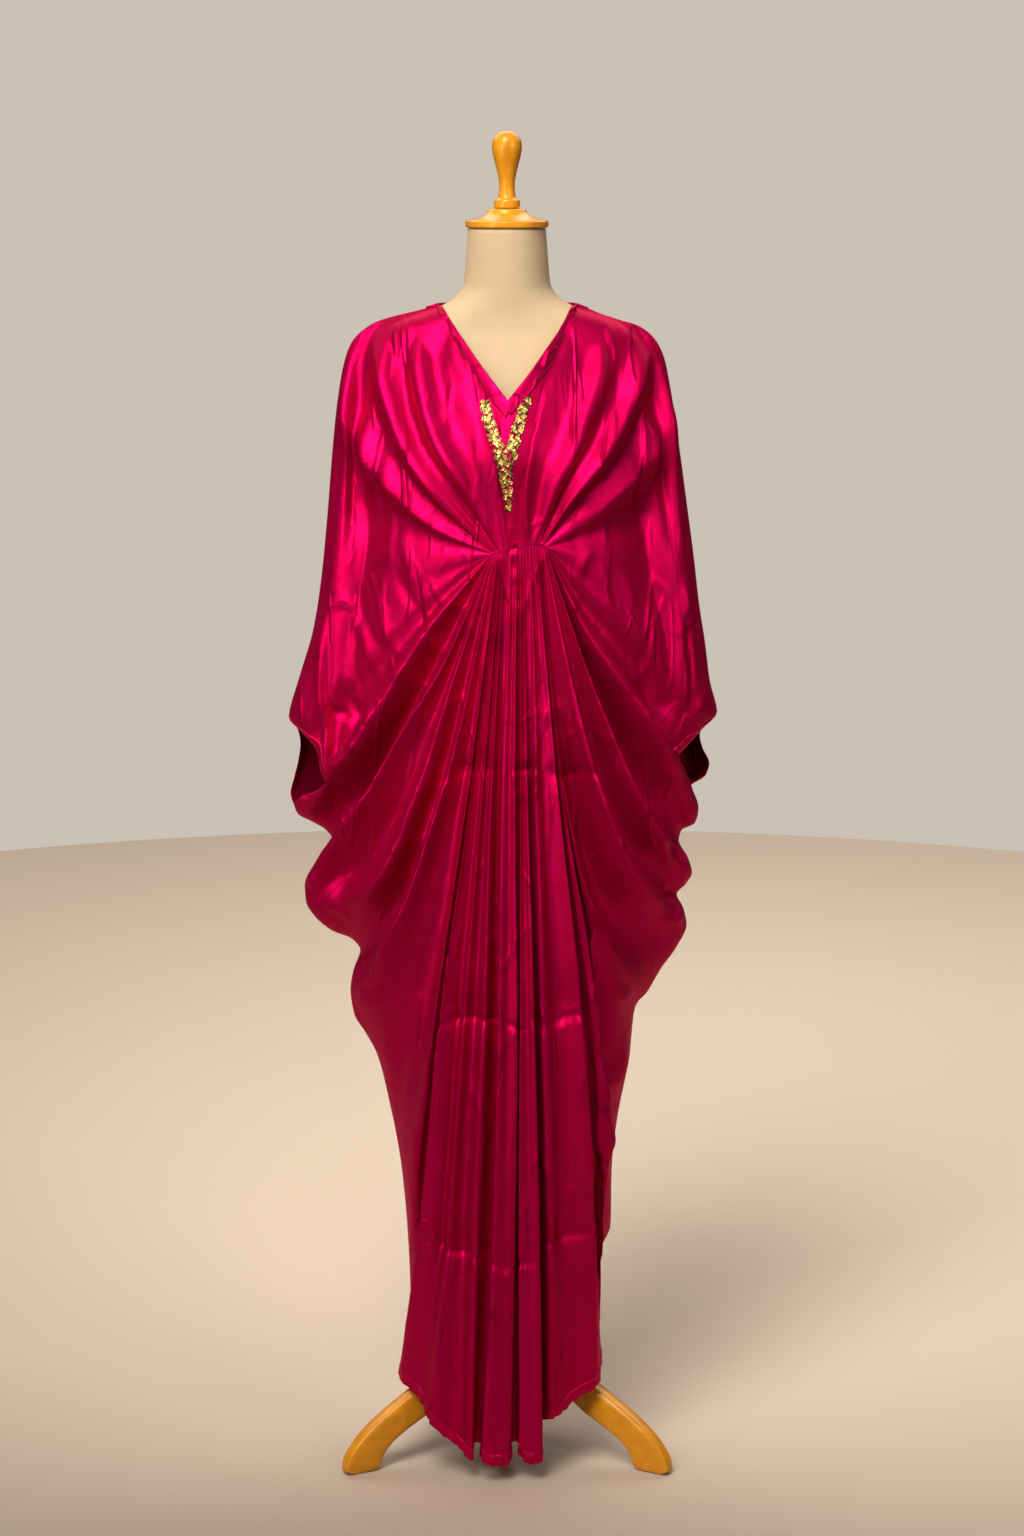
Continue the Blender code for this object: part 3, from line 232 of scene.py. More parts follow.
# Creases of the back panel, the same columns
BACK_CREASES = table("""
    -84 1292 78 1288 16 14 3.5, -70 1262 84 1256 20 12 -3, -62 1240 -92 620 10 13 5,
    -34 1190 -50 420 -8 11 -5, 4 1236 -10 300 6 12 4.5, 36 1170 54 380 8 10 -5, 66 1246 96 560 -10 14 5,
    -104 1010 -122 560 6 10 -4.5, 110 990 124 500 -6 11 -4.5, -22 780 -30 262 4 9 5, 76 720 92 270 6 11 5.5,
    -76 640 -88 264 -5 10 5, 50 560 60 258 3 8 -4.5, 14 520 22 256 -4 10 -5, -112 520 -118 262 4 8 -4,
    -172 850 -20 706 -30 10 5.5, -164 792 -34 640 -28 11 -6, -150 700 -56 560 -20 10 5,
    168 860 12 690 32 11 5.5, 170 806 30 636 28 10 -6, 140 690 52 548 20 11 5, -128 1306 -70 1040 14 9 -4,
    122 1310 64 1020 -14 10 -4, -44 1300 -26 1130 4 6 2.6, 52 1302 30 1150 -4 6 2.6,
    -12 1296 -14 1180 2 5 -2.2, 20 1298 16 1170 -3 5 -2.2
""")

# The front's creases nearer the sides than this go on round to the back, mirrored and a little lower
SIDE_CREASES = 85
MIRRORED = np.array([-1, 1, -1, 1, -1, 1, 1])[:, None]
LOWERED = np.array([0, 9, 0, 9, 0, 0, 0])[:, None]

# Creases die out over this share of the rows at the edge; laps are looked for further in than LAP_ROWS
EDGE_EASE, LAP_ROWS = 0.05, 0.85

# Puckered seam under the gather: from, to, x, half width, height
PUCKER_TOP, PUCKER_FOOT, PUCKER_X, PUCKER_HALF, PUCKER_OUT = 1136, 1010, 9, 3.2, 2.4

# Waves of the stitched hem: height and reach, as a share of the rows
HEM_WAVE, HEM_WAVE_REACH = 1.3, 0.022

# Knife pleats under the gather and puckers above it: stations a pleat, puckers a station, and tables of
# share of the rows, height
KNIFE_PITCH, PUCKERS = 3.1, 0.9
KNIFE_HEIGHT = table("0 0, .015 .9, .06 1.8, .14 1.7, .3 .9, .5 0")
SHORT_HEIGHT = table("0 0, .03 .8, .1 1, .3 .4, .5 0")

# Small creases of worn satin: length of the wave, height
CRUMPLE_WAVES = ((150, 0.8), (105, 0.7), (76, 0.6), (52, 0.45), (37, 0.3))
FRONT_SEED, BACK_SEED, TRIM_SEED = 3, 8, 21

# Dress form: z, half width, front, back
TORSO = table("""
    780 128 78 92, 784 146 88 104, 800 160 95 113, 860 168 99 118, 940 158 94 104, 1010 138 87 82,
    1070 124 83 70, 1125 128 89 74, 1170 140 99 82, 1215 149 105 88, 1260 155 96 91, 1305 160 80 90,
    1338 162 67 84, 1358 156 58 76, 1372 142 52 69, 1382 122 50 63, 1390 99 49 58, 1398 78 49 54,
    1408 61 49.5 51, 1424 51 49.5 50, 1455 48 48 48, 1488 45.5 45.5 45.5
""")
TORSO_COLUMNS, TORSO_RINGS = 128, 150
WELT_OUT, WELT_HALF = 0.35, 1.1

# Neck cap and finial, outer sides from top to bottom: radius, height
CAP_PROFILE = table("""
    14 1511, 21 1510.5, 24 1506, 31 1501.5, 41 1498.5, 47 1497.4, 48.5 1495.8, 48.5 1491, 47 1489.3,
    43 1488.6
""")
KNOB_PROFILE = table("""
    5 1599.6, 10 1597.6, 14.2 1593.6, 17 1587.2, 17.5 1581.5, 16.4 1573, 13.6 1562, 10.8 1550, 9.3 1541,
    9 1535, 9.6 1528, 11.2 1522.6, 14.4 1521, 15.2 1518.4, 15.2 1513.6, 14 1511.4
""")

# Leg in its upright plane: distance from the pole, height; along the top, and back underneath
LEG_TOP = table("""
    30.4 158, 52 155, 78 139, 104 112, 126 96, 145 85, 172 69, 198 51, 216 33, 227 14, 228 5
""")
LEG_FOOT = table("217 0, 190 0, 184 2, 180 8, 176 18, 163 32, 140 46, 114 59, 86 78, 56 96, 30.4 100")

# Legs: piece, node, turn about the pole
LEGS = [
    ("leg_board_left", "leg_front_left", -math.radians(60)),
    ("leg_board_right", "leg_front_right", math.radians(60)),
    ("leg_board_back", "leg_back", math.pi),
]
LEG_THICKNESS, LEG_RINGS, LEG_SIDES, LEG_CORNER = 22, 72, 28, 0.4

# Bands and stitches: thickness of the neckband and the hems, how far the stitches lie in from the sewn edge
# and off the cloth, a stitch's thickness, share of its pitch and lift of its ends
BAND_THICK, HEM_THICK = 1.5, 0.55
BAND_STITCH_IN, BAND_STITCH_OFF, HEM_STITCH_IN, HEM_STITCH_OFF = 1.4, 1.55, 1.5, 0.5
STITCH_THICK, STITCH_SHARE, STITCH_LIFT, STITCH_ARCH = 0.32, 0.62, 0.1, 0.25
STITCH_RINGS, STITCH_SIDES = 5, 6

# Paths of the trim: x, z, width; length of an arm, where its rows of sequins lie across it, and their steps
TRIM_PATHS = [
    table("-26 1293 10, -19 1268 12, -11 1243 14, -4 1222 15"),
    table("22 1297 10, 14 1270 12, 7 1246 14, 1 1224 15"),
    table("-2 1218 16, -1 1204 14, 1 1190 10, 2 1172 5"),
]
TRIM_ARM = 70
TRIM_ACROSS = (-0.42, -0.16, 0.14, 0.42)
TRIM_STEPS = (-1.2, 1.4, -0.6, 0.9)
TRIM_HALF, TRIM_FOOT, TRIM_TOP = 60, 1120, 1320

# Lights: name, place, what it aims at, size, watts, colour, how many degrees the light fans out
LIGHTS = [
    ("key", (-0.6, -1.8, 3.2), (0.0, 0.0, 1.5), (3.0, 1.9), 24, (1.0, 0.95, 0.88), 40),
    ("lips", (-0.5, -1.4, 3.3), (0.0, 0.0, 0.75), (1.6, 0.7), 2.5, (1.0, 0.95, 0.90), 30),
    ("spark", (-1.7, -3.0, 2.5), (0.0, 0.0, 0.9), (0.9, 0.7), 4, (1.0, 0.95, 0.88), 60),
    ("fill", (2.2, -2.4, 2.1), (0.0, 0.0, 0.9), (0.6, 1.3), 3, (1.0, 0.96, 0.92), 60),
    ("strip", (-2.0, -2.4, 1.1), (0.0, 0.0, 0.95), (0.5, 1.2), 3, (1.0, 0.94, 0.88), 60),
    ("ceiling", (0.0, 2.7, 3.4), (0.0, 2.9, 0.0), (7.0, 3.6), 200, (1.0, 0.95, 0.90), 180),
]
ROOM_COLOUR, ROOM_STRENGTH = (1.0, 0.93, 0.86), 0.06
BACKDROP_COLOUR = (0.60, 0.53, 0.46)
FLOOR_CENTRE, FLOOR_RADIUS, FLOOR_SIDES = (0.0, 1.3), 2.6, 96

# Camera: place from the pole in metres, how far it looks down, lens and sensor in millimetres
CAMERA_AT = (0.0059, -4.2, 1.6)
CAMERA_DOWN = 0.17717
LENS, SENSOR = 83.385, 36.0


def length_prop(name, about, value):
    return FloatProperty(name=name, description=about, default=value * MM, min=0, unit="LENGTH")


def colour_prop(name, about, value):
    return FloatVectorProperty(name=name, description=about, default=value, size=3, subtype="COLOR")


class KaftanSizes(bpy.types.PropertyGroup):
    """Sizes of the cloth and its sewing."""

    form_clear: length_prop("Clear of the form", "Least gap between cloth and form", 0.9)
    neckband_width: length_prop("Neckband width", "Width of the band round the neck", 14.5)
    hem_width: length_prop("Hem width", "Width of the turned hems", 14)
    stitch_pitch: length_prop("Stitch pitch", "Length of one stitch and its gap", 3.2)
    crumple: FloatProperty(
        name="Crumple", description="Share of the small creases that shows", default=1, min=0, max=2,
        subtype="FACTOR",
    )
    sequins: IntProperty(
        name="Sequin rows", description="Rows of sequins on each arm of the trim", default=20, min=4, max=40,
    )


class KaftanColours(bpy.types.PropertyGroup):
    """Base colours of the finishes."""

    satin: colour_prop("Satin", "Colour of the satin", (0.42, 0.0008, 0.049))
    canvas: colour_prop("Canvas", "Colour of the form's cover", (0.46, 0.335, 0.2))
    wood: colour_prop("Wood", "Colour of the lacquered wood", (0.6, 0.235, 0.008))
    gold: colour_prop("Gold", "Colour of the sequins", (0.62, 0.41, 0.11))
    floor: colour_prop("Floor", "Colour of the floor", (0.5, 0.41, 0.325))


def sizes():
    return bpy.context.scene.kaftan_sizes


def colours():
    return bpy.context.scene.kaftan_colours


def ramp(value):
    """The value, held between 0 and 1."""
    return np.clip(value, 0, 1)


def bell(away, width):
    """A bell of height 1: exp of minus the square of the distance over the width."""
    return np.exp(-((away / width) ** 2))


def swell(x, z, middles, size):
    """Round swellings: exp of minus the squared distance from each middle over the squared size."""
    return sum(np.exp(-((x - at_x) ** 2 + (z - at_z) ** 2) / size**2) for at_x, at_z in middles)


def unit(way):
    """Arrows of length 1 that point the same way."""
    return way / np.linalg.norm(way, axis=-1, keepdims=True).clip(1e-9)


def points_at(x, y, z):
    return np.stack(np.broadcast_arrays(x, y, z), axis=-1)


def full_turn(count):
    return np.arange(count) / count * 2 * np.pi


def run_of(points):
    """How far along a line of points each one lies."""
    step = np.linalg.norm(np.diff(points, axis=0), axis=-1)
    return np.concatenate([np.zeros((1, *step.shape[1:])), np.cumsum(step, axis=0)])


def piece_of(x, marks):
    """Which of the pieces between marks each value lies in."""
    return np.clip(np.searchsorted(marks, x, side="right") - 1, 0, len(marks) - 2)


def cubic(s, step, near, far, slope_near, slope_far):
    """A cubic piece over a step, s from 0 to 1, with a value and a slope at each end."""
    value = near * (1 + 2 * s) * (1 - s) ** 2 + far * s**2 * (3 - 2 * s)
    return value + step * (slope_near * s * (1 - s) ** 2 - slope_far * s**2 * (1 - s))


def smooth(x, xs, ys):
    """Smooth curve through points that never swings past them: cubic pieces whose slopes are the weighted
    harmonic mean of the rises beside each point, and nought where those rises differ in sign."""
    step = np.diff(xs)
    rise = np.diff(ys) / step
    same = rise[:-1] * rise[1:] > 0
    weight_a, weight_b = 2 * step[1:] + step[:-1], step[1:] + 2 * step[:-1]
    safe_a, safe_b = np.where(same, rise[:-1], 1), np.where(same, rise[1:], 1)
    inner = np.where(same, (weight_a + weight_b) / (weight_a / safe_a + weight_b / safe_b), 0)
    slope = np.concatenate([rise[:1], inner, rise[-1:]])
    i = piece_of(x, xs)
    return cubic(ramp((x - xs[i]) / step[i]), step[i], ys[i], ys[i + 1], slope[i], slope[i + 1])


def creased(x, xs, ys, crease):
    """Values between fold lines, from one line's to the next by s^a / (s^a + (1 - s)^b): each line keeps
    its own crease, sharp at 1 and round at 2."""
    i = piece_of(x, xs)
    s = ramp((x - xs[i]) / (xs[i + 1] - xs[i]))
    near, far = s ** crease[i], (1 - s) ** crease[i + 1]
    return ys[i] + (ys[i + 1] - ys[i]) * near / (near + far)


def along(t, marks, rows):
    """Curve down each column through its rows at the marks: cubic pieces with the rows' own slopes."""
    slope = np.gradient(rows, marks, axis=0)
    i = piece_of(t, marks)
    step = marks[i + 1] - marks[i]
    ends = [np.take_along_axis(rows_of, i + k, axis=0) for rows_of in (rows, slope) for k in (0, 1)]
    return cubic((t - marks[i]) / step, step, *ends)


def depth_at(sections, x, z):
    """Distance in front of or behind the side plane: the fourth-power mean of a rounded body, body times
    the root of 1 - (x / half)^2, and a flatter wing."""
    body, half, wing = (smooth(z, sections[0], column) for column in sections[1:])
    across = np.sqrt(ramp(1 - (x / half) ** 2))
    return ((body * across) ** 4 + wing**4) ** 0.25


def front_depth(x, z):
    """Depth of the front: body and wing, with a round swelling over each breast."""
    return depth_at(FRONT_DEPTH, x, z) + BUST_OUT * swell(x, z, BUST, BUST_SIZE)


def gather_points(u):
    """Points round the gather: its line, apart by a half width that rounds off at both ends."""
    x = smooth(u, *SLIT_X)
    end = np.minimum(x - SLIT_X[1].min(), SLIT_X[1].max() - x).clip(0)
    half = SLIT_HALF * np.sqrt(ramp(end / SLIT_ROUND))
    below = (u > SLIT_FOOT_FROM) & (u < SLIT_FOOT_TO)
    return x, smooth(x, *GATHER) + np.where(below, -half, half)


def outward(grid):
    """Unit normals of a grid of points: the cross product of the way down the rows and the way along
    them."""
    return unit(np.cross(np.gradient(grid, axis=0), np.gradient(grid, axis=1)))


def front_points(u, t):
    """The front panel at stations u and rows t: fold lines run from the gather to the edge, and each point
    stands out of the smooth depth by the height of its fold, pleat, creases, puckers and hem waves."""
    gather_x, gather_z = gather_points(u)
    edge_x, edge_y, edge_z = (smooth(u, EDGE_FRONT[0], column) for column in EDGE_FRONT[1:])
    path_x = [gather_x] + [smooth(u, FOLDS[0], FOLDS[k]) for k in (1, 3, 5)] + [edge_x]
    path_z = [gather_z] + [smooth(u, FOLDS[0], FOLDS[k]) for k in (2, 4, 6)] + [edge_z]
    rise = [0 * u] + [creased(u, FOLDS[0], FOLDS[k], FOLDS[11]) for k in (7, 8, 9, 10)]
    x, z, out = (along(t, FOLD_MARKS, np.array(path)) for path in (path_x, path_z, rise))
    start, power = (np.interp(u, SEAM_TURN[0], column) for column in SEAM_TURN[1:])
    turned = 1 - (1 - ramp((t - start) / (1 - start)) ** 2) ** power
    y = -front_depth(x, z) + (edge_y + front_depth(edge_x, edge_z)) * turned
    base = points_at(x, y, z)
    to_edge = ramp((1 - t) / EDGE_EASE)
    out = out + fine_pleats(u, t) + (creases(x, z, FRONT_CREASES) + crumple(x, z, FRONT_SEED)) * to_edge
    out = out + puckers(x, z) + hem_waves(u, t)
    return base + steady_normals(base, t) * out[..., None]


def puckers(x, z):
    """The puckered seam under the gather: a bell across x whose height swings with z at an uneven pace."""
    swing = np.sin(z / 3.1 + 1.3 * np.sin(z / 9.0))
    down = ramp((PUCKER_TOP - z) / 14) * ramp((z - PUCKER_FOOT) / 60)
    return PUCKER_OUT * swing * down * bell(x - PUCKER_X - 1.6 * np.sin(z / 12.0), PUCKER_HALF)


def hem_waves(u, t):
    """Small waves where the hem is stitched: two sine waves along the edge that die out up the cloth."""
    here = ramp((u - HEM_LEFT - 0.5) / 1.5) * ramp((HEM_RIGHT - 0.5 - u) / 1.5)
    wave = np.sin(5.3 * u) + 0.7 * np.sin(8.9 * u + 1.0)
    return HEM_WAVE * wave * here * bell(1 - t, HEM_WAVE_REACH)


def steady_normals(base, t):
    """Outward normals that hold where a fold laps over its neighbour and the columns cross: away from the
    edge a normal that points into the smooth depth is turned round, and all are eased along the columns."""
    x, z = base[..., 0], base[..., 2]
    lean_x = (front_depth(x + 1, z) - front_depth(x - 1, z)) / 2
    lean_z = (front_depth(x, z + 1) - front_depth(x, z - 1)) / 2
    normal = outward(base)
    wrong = ((normal * points_at(-lean_x, -1.0, -lean_z)).sum(axis=-1) < 0) & (t < LAP_ROWS)
    normal = np.where(wrong[..., None], -normal, normal)
    return unit(sum(np.roll(normal, k, axis=1) * (3 - abs(k)) for k in (-2, -1, 0, 1, 2)))


def fine_pleats(u, t):
    """Small knife pleats under the gather that run out down the skirt, and short puckers above it: a cosine
    of the station, at an uneven pace, times a height that falls off with the distance from the gather."""
    under = ramp((u - 40) / 4) * ramp((100 - u) / 4)
    knife = np.cos(2 * np.pi * u / KNIFE_PITCH + 0.8 * np.sin(u / 4.7))
    above = ramp((14 - u) / 4) + ramp((u - 126) / 4)
    short = np.cos(2 * np.pi * u * PUCKERS + 1)
    return np.interp(t, *KNIFE_HEIGHT) * (under * knife) + np.interp(t, *SHORT_HEIGHT) * (above * short)


def back_edge():
    """The back panel's edge: the front panel's seams, and its own edges at the cuffs."""
    u = EDGE_FRONT[0]
    seam = (NECK_LEFT <= u) & (u <= CUFF_TOP_LEFT) | (CUFF_FOOT_LEFT <= u) & (u <= HEM_LEFT)
    seam |= (HEM_RIGHT <= u) & (u <= CUFF_FOOT_RIGHT) | (CUFF_TOP_RIGHT <= u) & (u <= NECK_RIGHT)
    edge = np.concatenate([EDGE_FRONT[:, seam], EDGE_BACK_CUFFS], axis=1)
    return edge[:, np.argsort(edge[0])]


def down_seam(at, stations, values):
    """Smooth curve down a seam, whose stations rise on the left side and fall on the right."""
    order = np.argsort(stations)
    return smooth(at, stations[order], values[order])


def back_points(k, s):
    """The back panel: row k down the seams, s from -1 at the left seam to 1 at the right. Rows run from
    seam to seam and sag, and cowls stand out near the seams."""
    edge = back_edge()
    sides = []
    for at, run, cowl in zip((NECK_LEFT + k, NECK_RIGHT - k), BACK_RUN, COWLS):
        seam = [smooth(at[:, None], edge[0], column) for column in edge[1:]]
        even = [down_seam(at[:, None], run, smooth(run, edge[0], edge[c])) for c in (1, 3)]
        sides.append((seam, even, down_seam(at[:, None], cowl, COWLS[2])))
    (left, even_left, out_left), (right, even_right, out_right) = sides
    part = (s + 1) / 2
    near_left, near_right = (
        ramp((side * s - BACK_WAVES) / (1 - BACK_WAVES)) ** BACK_WAVE_POWER for side in (-1, 1)
    )
    x, z = (
        a + (b - a) * part + (left[c] - a) * near_left + (right[c] - b) * near_right
        for a, b, c in zip(even_left, even_right, (0, 2))
    )
    z = z - down_seam((NECK_LEFT + k)[:, None], COWLS[0], COWLS[3]) * (1 - s**2)
    turned = 1 - np.sqrt(1 - ramp((np.abs(s) - BACK_TURN) / (1 - BACK_TURN)) ** 2)
    seam_x, seam_y, seam_z = (np.where(s < 0, a, b) for a, b in zip(left, right))
    y = depth_at(BACK_DEPTH, x, z) + (seam_y - depth_at(BACK_DEPTH, seam_x, seam_z)) * turned
    base = points_at(x, y, z)
    shape = bell(np.abs(s) - COWL_MIDDLE, COWL_WIDTH) * (1 - np.abs(s) ** 8)
    out = np.where(s < 0, out_left, out_right) * shape + back_folds(x, z) * (1 - np.abs(s) ** 4)
    beside = np.abs(FRONT_CREASES[0] + FRONT_CREASES[2]) / 2 > SIDE_CREASES
    rows = np.concatenate([BACK_CREASES, FRONT_CREASES[:, beside] * MIRRORED - LOWERED], axis=1)
    out = out + (creases(x, z, rows) + crumple(x, z, BACK_SEED)) * (1 - np.abs(s) ** 12)
    return base - outward(base) * out[..., None]


def back_folds(x, z):
    """Long soft folds: bell-shaped ridges across x, growing down the back."""
    down = ramp((BACK_FOLDS_TOP - z) / BACK_FOLDS_RUN)
    out = 0
    for top, foot, width_top, width_foot, height in BACK_FOLDS.T:
        centre, width = top + (foot - top) * down, width_top + (width_foot - width_top) * down
        out = out + height * bell(x - centre, width)
    return (out - BACK_FOLDS_SUNK) * np.minimum(1, down * 1.6)


def creases(x, z, rows):
    """Creases laid on a panel: each is a bell across a line from one point to another that bows to one
    side, and fades at both ends."""
    out = np.zeros_like(x)
    for x0, z0, x1, z1, bow, width, height in rows.T:
        size = math.hypot(x1 - x0, z1 - z0)
        far = ((x - x0) * (x1 - x0) + (z - z0) * (z1 - z0)) / size**2
        away = ((x - x0) * (z1 - z0) - (z - z0) * (x1 - x0)) / size - 4 * bow * far * (1 - far)
        out += height * bell(away, width) * np.sin(np.pi * ramp(far))
    return out


def crumple(x, z, seed):
    """Small creases of worn satin: thin ridges where folded sine waves at scattered angles peak, each wave
    bent by the one before, and shown in patches."""
    rng = np.random.default_rng(seed)
    out, bend = np.zeros_like(x), np.zeros_like(x)
    for wave, height in CRUMPLE_WAVES:
        angle, phase, patch = rng.uniform(-0.9, 0.9), *rng.uniform(0, 2 * np.pi, 2)
        run = 2 * np.pi * (x * math.cos(angle) + z * math.sin(angle)) / wave + phase + bend
        bend = 1.4 * np.sin(run * 0.6 + patch)
        shown = ramp(np.sin((x * math.sin(angle) - z * math.cos(angle)) / wave * 2.1 + patch) * 1.5)
        out += sizes().crumple * height * shown * (1 - np.abs(np.sin(run))) ** 4
    return out


def even_rows(count):
    """Rows from 0 to 1, closer together at both ends."""
    part = np.arange(count + 1) / count
    return 0.45 * part + 0.55 * (1 - np.cos(np.pi * part)) / 2


def front_rows():
    """Rows of the front shell from 0 to 1: a bell of extra rows round each place where they lie closer."""
    t = np.linspace(0, 1, 2001)
    close = 1 + sum(more * bell(t - at, width) for at, width, more in CLOSER_ROWS)
    run = np.concatenate([[0], np.cumsum((close[1:] + close[:-1]) / 2)])
    return np.interp(np.arange(FRONT_ROWS + 1) / FRONT_ROWS, run / run[-1], t)


def half_stations():
    """Stations of the front shell's columns on its left half."""
    parts = [np.linspace(a, b, count, endpoint=False) for a, b, count in COLUMNS]
    return np.concatenate(parts + [[COLUMNS[-1][1]]])


def front_stations():
    """Stations of all the front shell's columns: its left half and that half's mirror."""
    half = half_stations()
    return np.concatenate([half, STATIONS - half[-2:0:-1]])


def seam_stations():
    """Stations of the back shell's rows, down the left seam."""
    half = half_stations()
    return half[(half >= NECK_LEFT) & (half <= HEM_LEFT)]


def between(u, low, high):
    return np.flatnonzero((u >= low - 1e-6) & (u <= high + 1e-6))


def grid_faces(rows, columns, closed=False, flip=False):
    """Four-sided faces of a grid of points, as an array."""
    j, i = np.meshgrid(np.arange(rows - 1), np.arange(columns if closed else columns - 1), indexing="ij")
    this, below, ahead = j * columns, (j + 1) * columns, (i + 1) % columns
    quads = np.stack([this + i, below + i, below + ahead, this + ahead], axis=-1).reshape(-1, 4)
    return quads[:, ::-1] if flip else quads


def copied_faces(faces, count, step):
    """The faces of a small shape for each of its copies, whose points follow one another."""
    return (faces[None] + (np.arange(count) * step)[:, None, None]).reshape(-1, faces.shape[1])


def new_piece(name, points, faces, material, slot, uv=None):
    """A mesh object in the frame from points in millimetres counted from the pole, riding on the whole."""
    mesh = bpy.data.meshes.new(name)
    points = np.asarray(points, float).reshape(-1, 3) * MM + POLE
    if isinstance(faces, np.ndarray):
        mesh.vertices.add(len(points))
        mesh.vertices.foreach_set("co", points.ravel())
        mesh.loops.add(faces.size)
        mesh.loops.foreach_set("vertex_index", faces.ravel())
        mesh.polygons.add(len(faces))
        mesh.polygons.foreach_set("loop_start", np.arange(0, faces.size, faces.shape[1]))
        mesh.update(calc_edges=True)
    else:
        mesh.from_pydata(points.tolist(), [], faces)
    if mesh.validate():
        raise RuntimeError(f"{name} had faces that Blender can't keep")
    mesh.shade_smooth()
    body = bpy.data.objects.new(name, mesh)
    bpy.context.scene.collection.objects.link(body)
    mesh.materials.append(material)
    if uv is not None:
        layer = mesh.uv_layers.new(name="cloth")
        corner = np.empty(len(mesh.loops), int)
        mesh.loops.foreach_get("vertex_index", corner)
        layer.data.foreach_set("uv", uv.reshape(-1, 2)[corner].ravel())
    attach(body, "root")
    return body


def turned_out(body):
    """The closed piece with all its faces outwards."""
    work = bmesh.new()
    work.from_mesh(body.data)
    bmesh.ops.remove_doubles(work, verts=work.verts, dist=1e-6)
    bmesh.ops.recalc_face_normals(work, faces=work.faces)
    work.to_mesh(body.data)
    work.free()
    body.data.shade_smooth()
    return body


def torso_surface():
    """The form's surface: level rings, half ellipses in front and behind of their own depths, with a
    swelling over each breast and a welt down the middle of the front and back."""
    height, half, ahead, behind = TORSO
    z = np.linspace(height[0], height[-1], TORSO_RINGS)[:, None]
    turn = full_turn(TORSO_COLUMNS)
    width, ahead, behind = (smooth(z, height, column) for column in (half, ahead, behind))
    x = width * np.cos(turn)
    y = np.where(np.sin(turn) < 0, ahead, behind) * np.sin(turn)
    y = y - BREAST_OUT * swell(x, z, BREASTS, BREAST_SIZE) * ramp(-np.sin(turn))
    y = y + np.sign(y) * WELT_OUT * bell(x, WELT_HALF) * ramp(np.abs(np.sin(turn)) * 3 - 2)
    return points_at(x, y, z)


def closed_by_poles(grid):
    """Points and faces of a tube of rings whose first and last rings are closed by a fan to their
    middle."""
    rows, columns = grid.shape[:2]
    points = np.concatenate([grid.reshape(-1, 3), [grid[0].mean(axis=0), grid[-1].mean(axis=0)]])
    faces = grid_faces(rows, columns, closed=True, flip=True).tolist()
    foot, top, last = rows * columns, rows * columns + 1, (rows - 1) * columns
    faces += [(foot, (i + 1) % columns, i) for i in range(columns)]
    faces += [(top, last + i, last + (i + 1) % columns) for i in range(columns)]
    return points, faces


def lathe(profile, columns, rounded=10):
    """A turned surface: the profile's radius, smoothed along its own length, swept round the upright
    axis."""
    ends = [[0.01], profile[1, :1]], [[0.01], profile[1, -1:]]
    line = np.concatenate([ends[0], profile, ends[1]], axis=1)
    run = run_of(line.T)
    at = np.unique(np.concatenate([np.linspace(0, run[-1], rounded * profile.shape[1]), run]))
    radius, height = (smooth(at, run, column)[:, None] for column in line)
    turn = full_turn(columns)
    return points_at(radius * np.cos(turn), radius * np.sin(turn), height)


def leg_surface(turn):
    """A curved board leg: level with the distance from the pole, an upright section between the top and the
    foot outline, a square with rounded corners (a superellipse of power 5) as thick as the board."""
    part = np.linspace(0, 1, LEG_RINGS)
    lines = []
    for line in (LEG_TOP, LEG_FOOT[:, ::-1]):
        run = run_of(line.T)
        lines.append([smooth(part, run / run[-1], column)[:, None] for column in line])
    angle = full_turn(LEG_SIDES)
    across, upright = (np.sign(wave) * np.abs(wave) ** LEG_CORNER for wave in (np.cos(angle), np.sin(angle)))
    r, z = (foot + (top - foot) * (upright + 1) / 2 for top, foot in zip(*lines))
    side = LEG_THICKNESS / 2 * across * (1 - 0.25 * part[:, None] ** 12)
    x, y = r * math.sin(turn) + side * math.cos(turn), side * math.sin(turn) - r * math.cos(turn)
    return points_at(x, y, z)


def in_from_edge(flat, distance):
    """The point of each column at a distance in from the grid's last row, measured along the column, with
    the normal that goes with it; a negative distance goes on past the edge."""
    column = flat[::-1]
    run = run_of(column[..., :3])
    at = np.arange(flat.shape[1])
    i = np.clip((run <= distance).sum(axis=0) - 1, 0, len(column) - 2)
    part = ((distance - run[i, at]) / (run[i + 1, at] - run[i, at]))[:, None]
    spot = column[i, at] * (1 - part) + column[i + 1, at] * part
    return spot[:, :3], unit(spot[:, 3:])


def band_surface(grid, normal, profile, slant=1):
    """A band on a panel's edge: a closed profile of (distance in from the edge, height off the panel)
    carried along it. The slant of the columns to the edge stretches the distance."""
    flat = np.concatenate([grid, normal], axis=2)
    rings = []
    for inward, lift in profile:
        spot, out = in_from_edge(flat, inward * slant)
        rings.append(spot + out * lift)
    return np.array(rings)


def slant_of(grid):
    """How much longer the way in along a column is than straight in from the edge: one over the sine
    between the column and the edge."""
    way, edge = unit(grid[-1] - grid[-4]), unit(np.gradient(grid[-1], axis=0))
    return 1 / np.sqrt(1 - (way * edge).sum(axis=1) ** 2).clip(0.3)


def rings_piece(name, rings, material, slot):
    """A closed piece from rings (profile by columns): the profile closes on itself and its two ends are
    filled."""
    rows, columns = rings.shape[:2]
    faces = (grid_faces(rows + 1, columns) % (rows * columns)).tolist()
    faces.append([j * columns for j in range(rows)])
    faces.append([j * columns + columns - 1 for j in reversed(range(rows))])
    return turned_out(new_piece(name, rings, faces, material, slot))


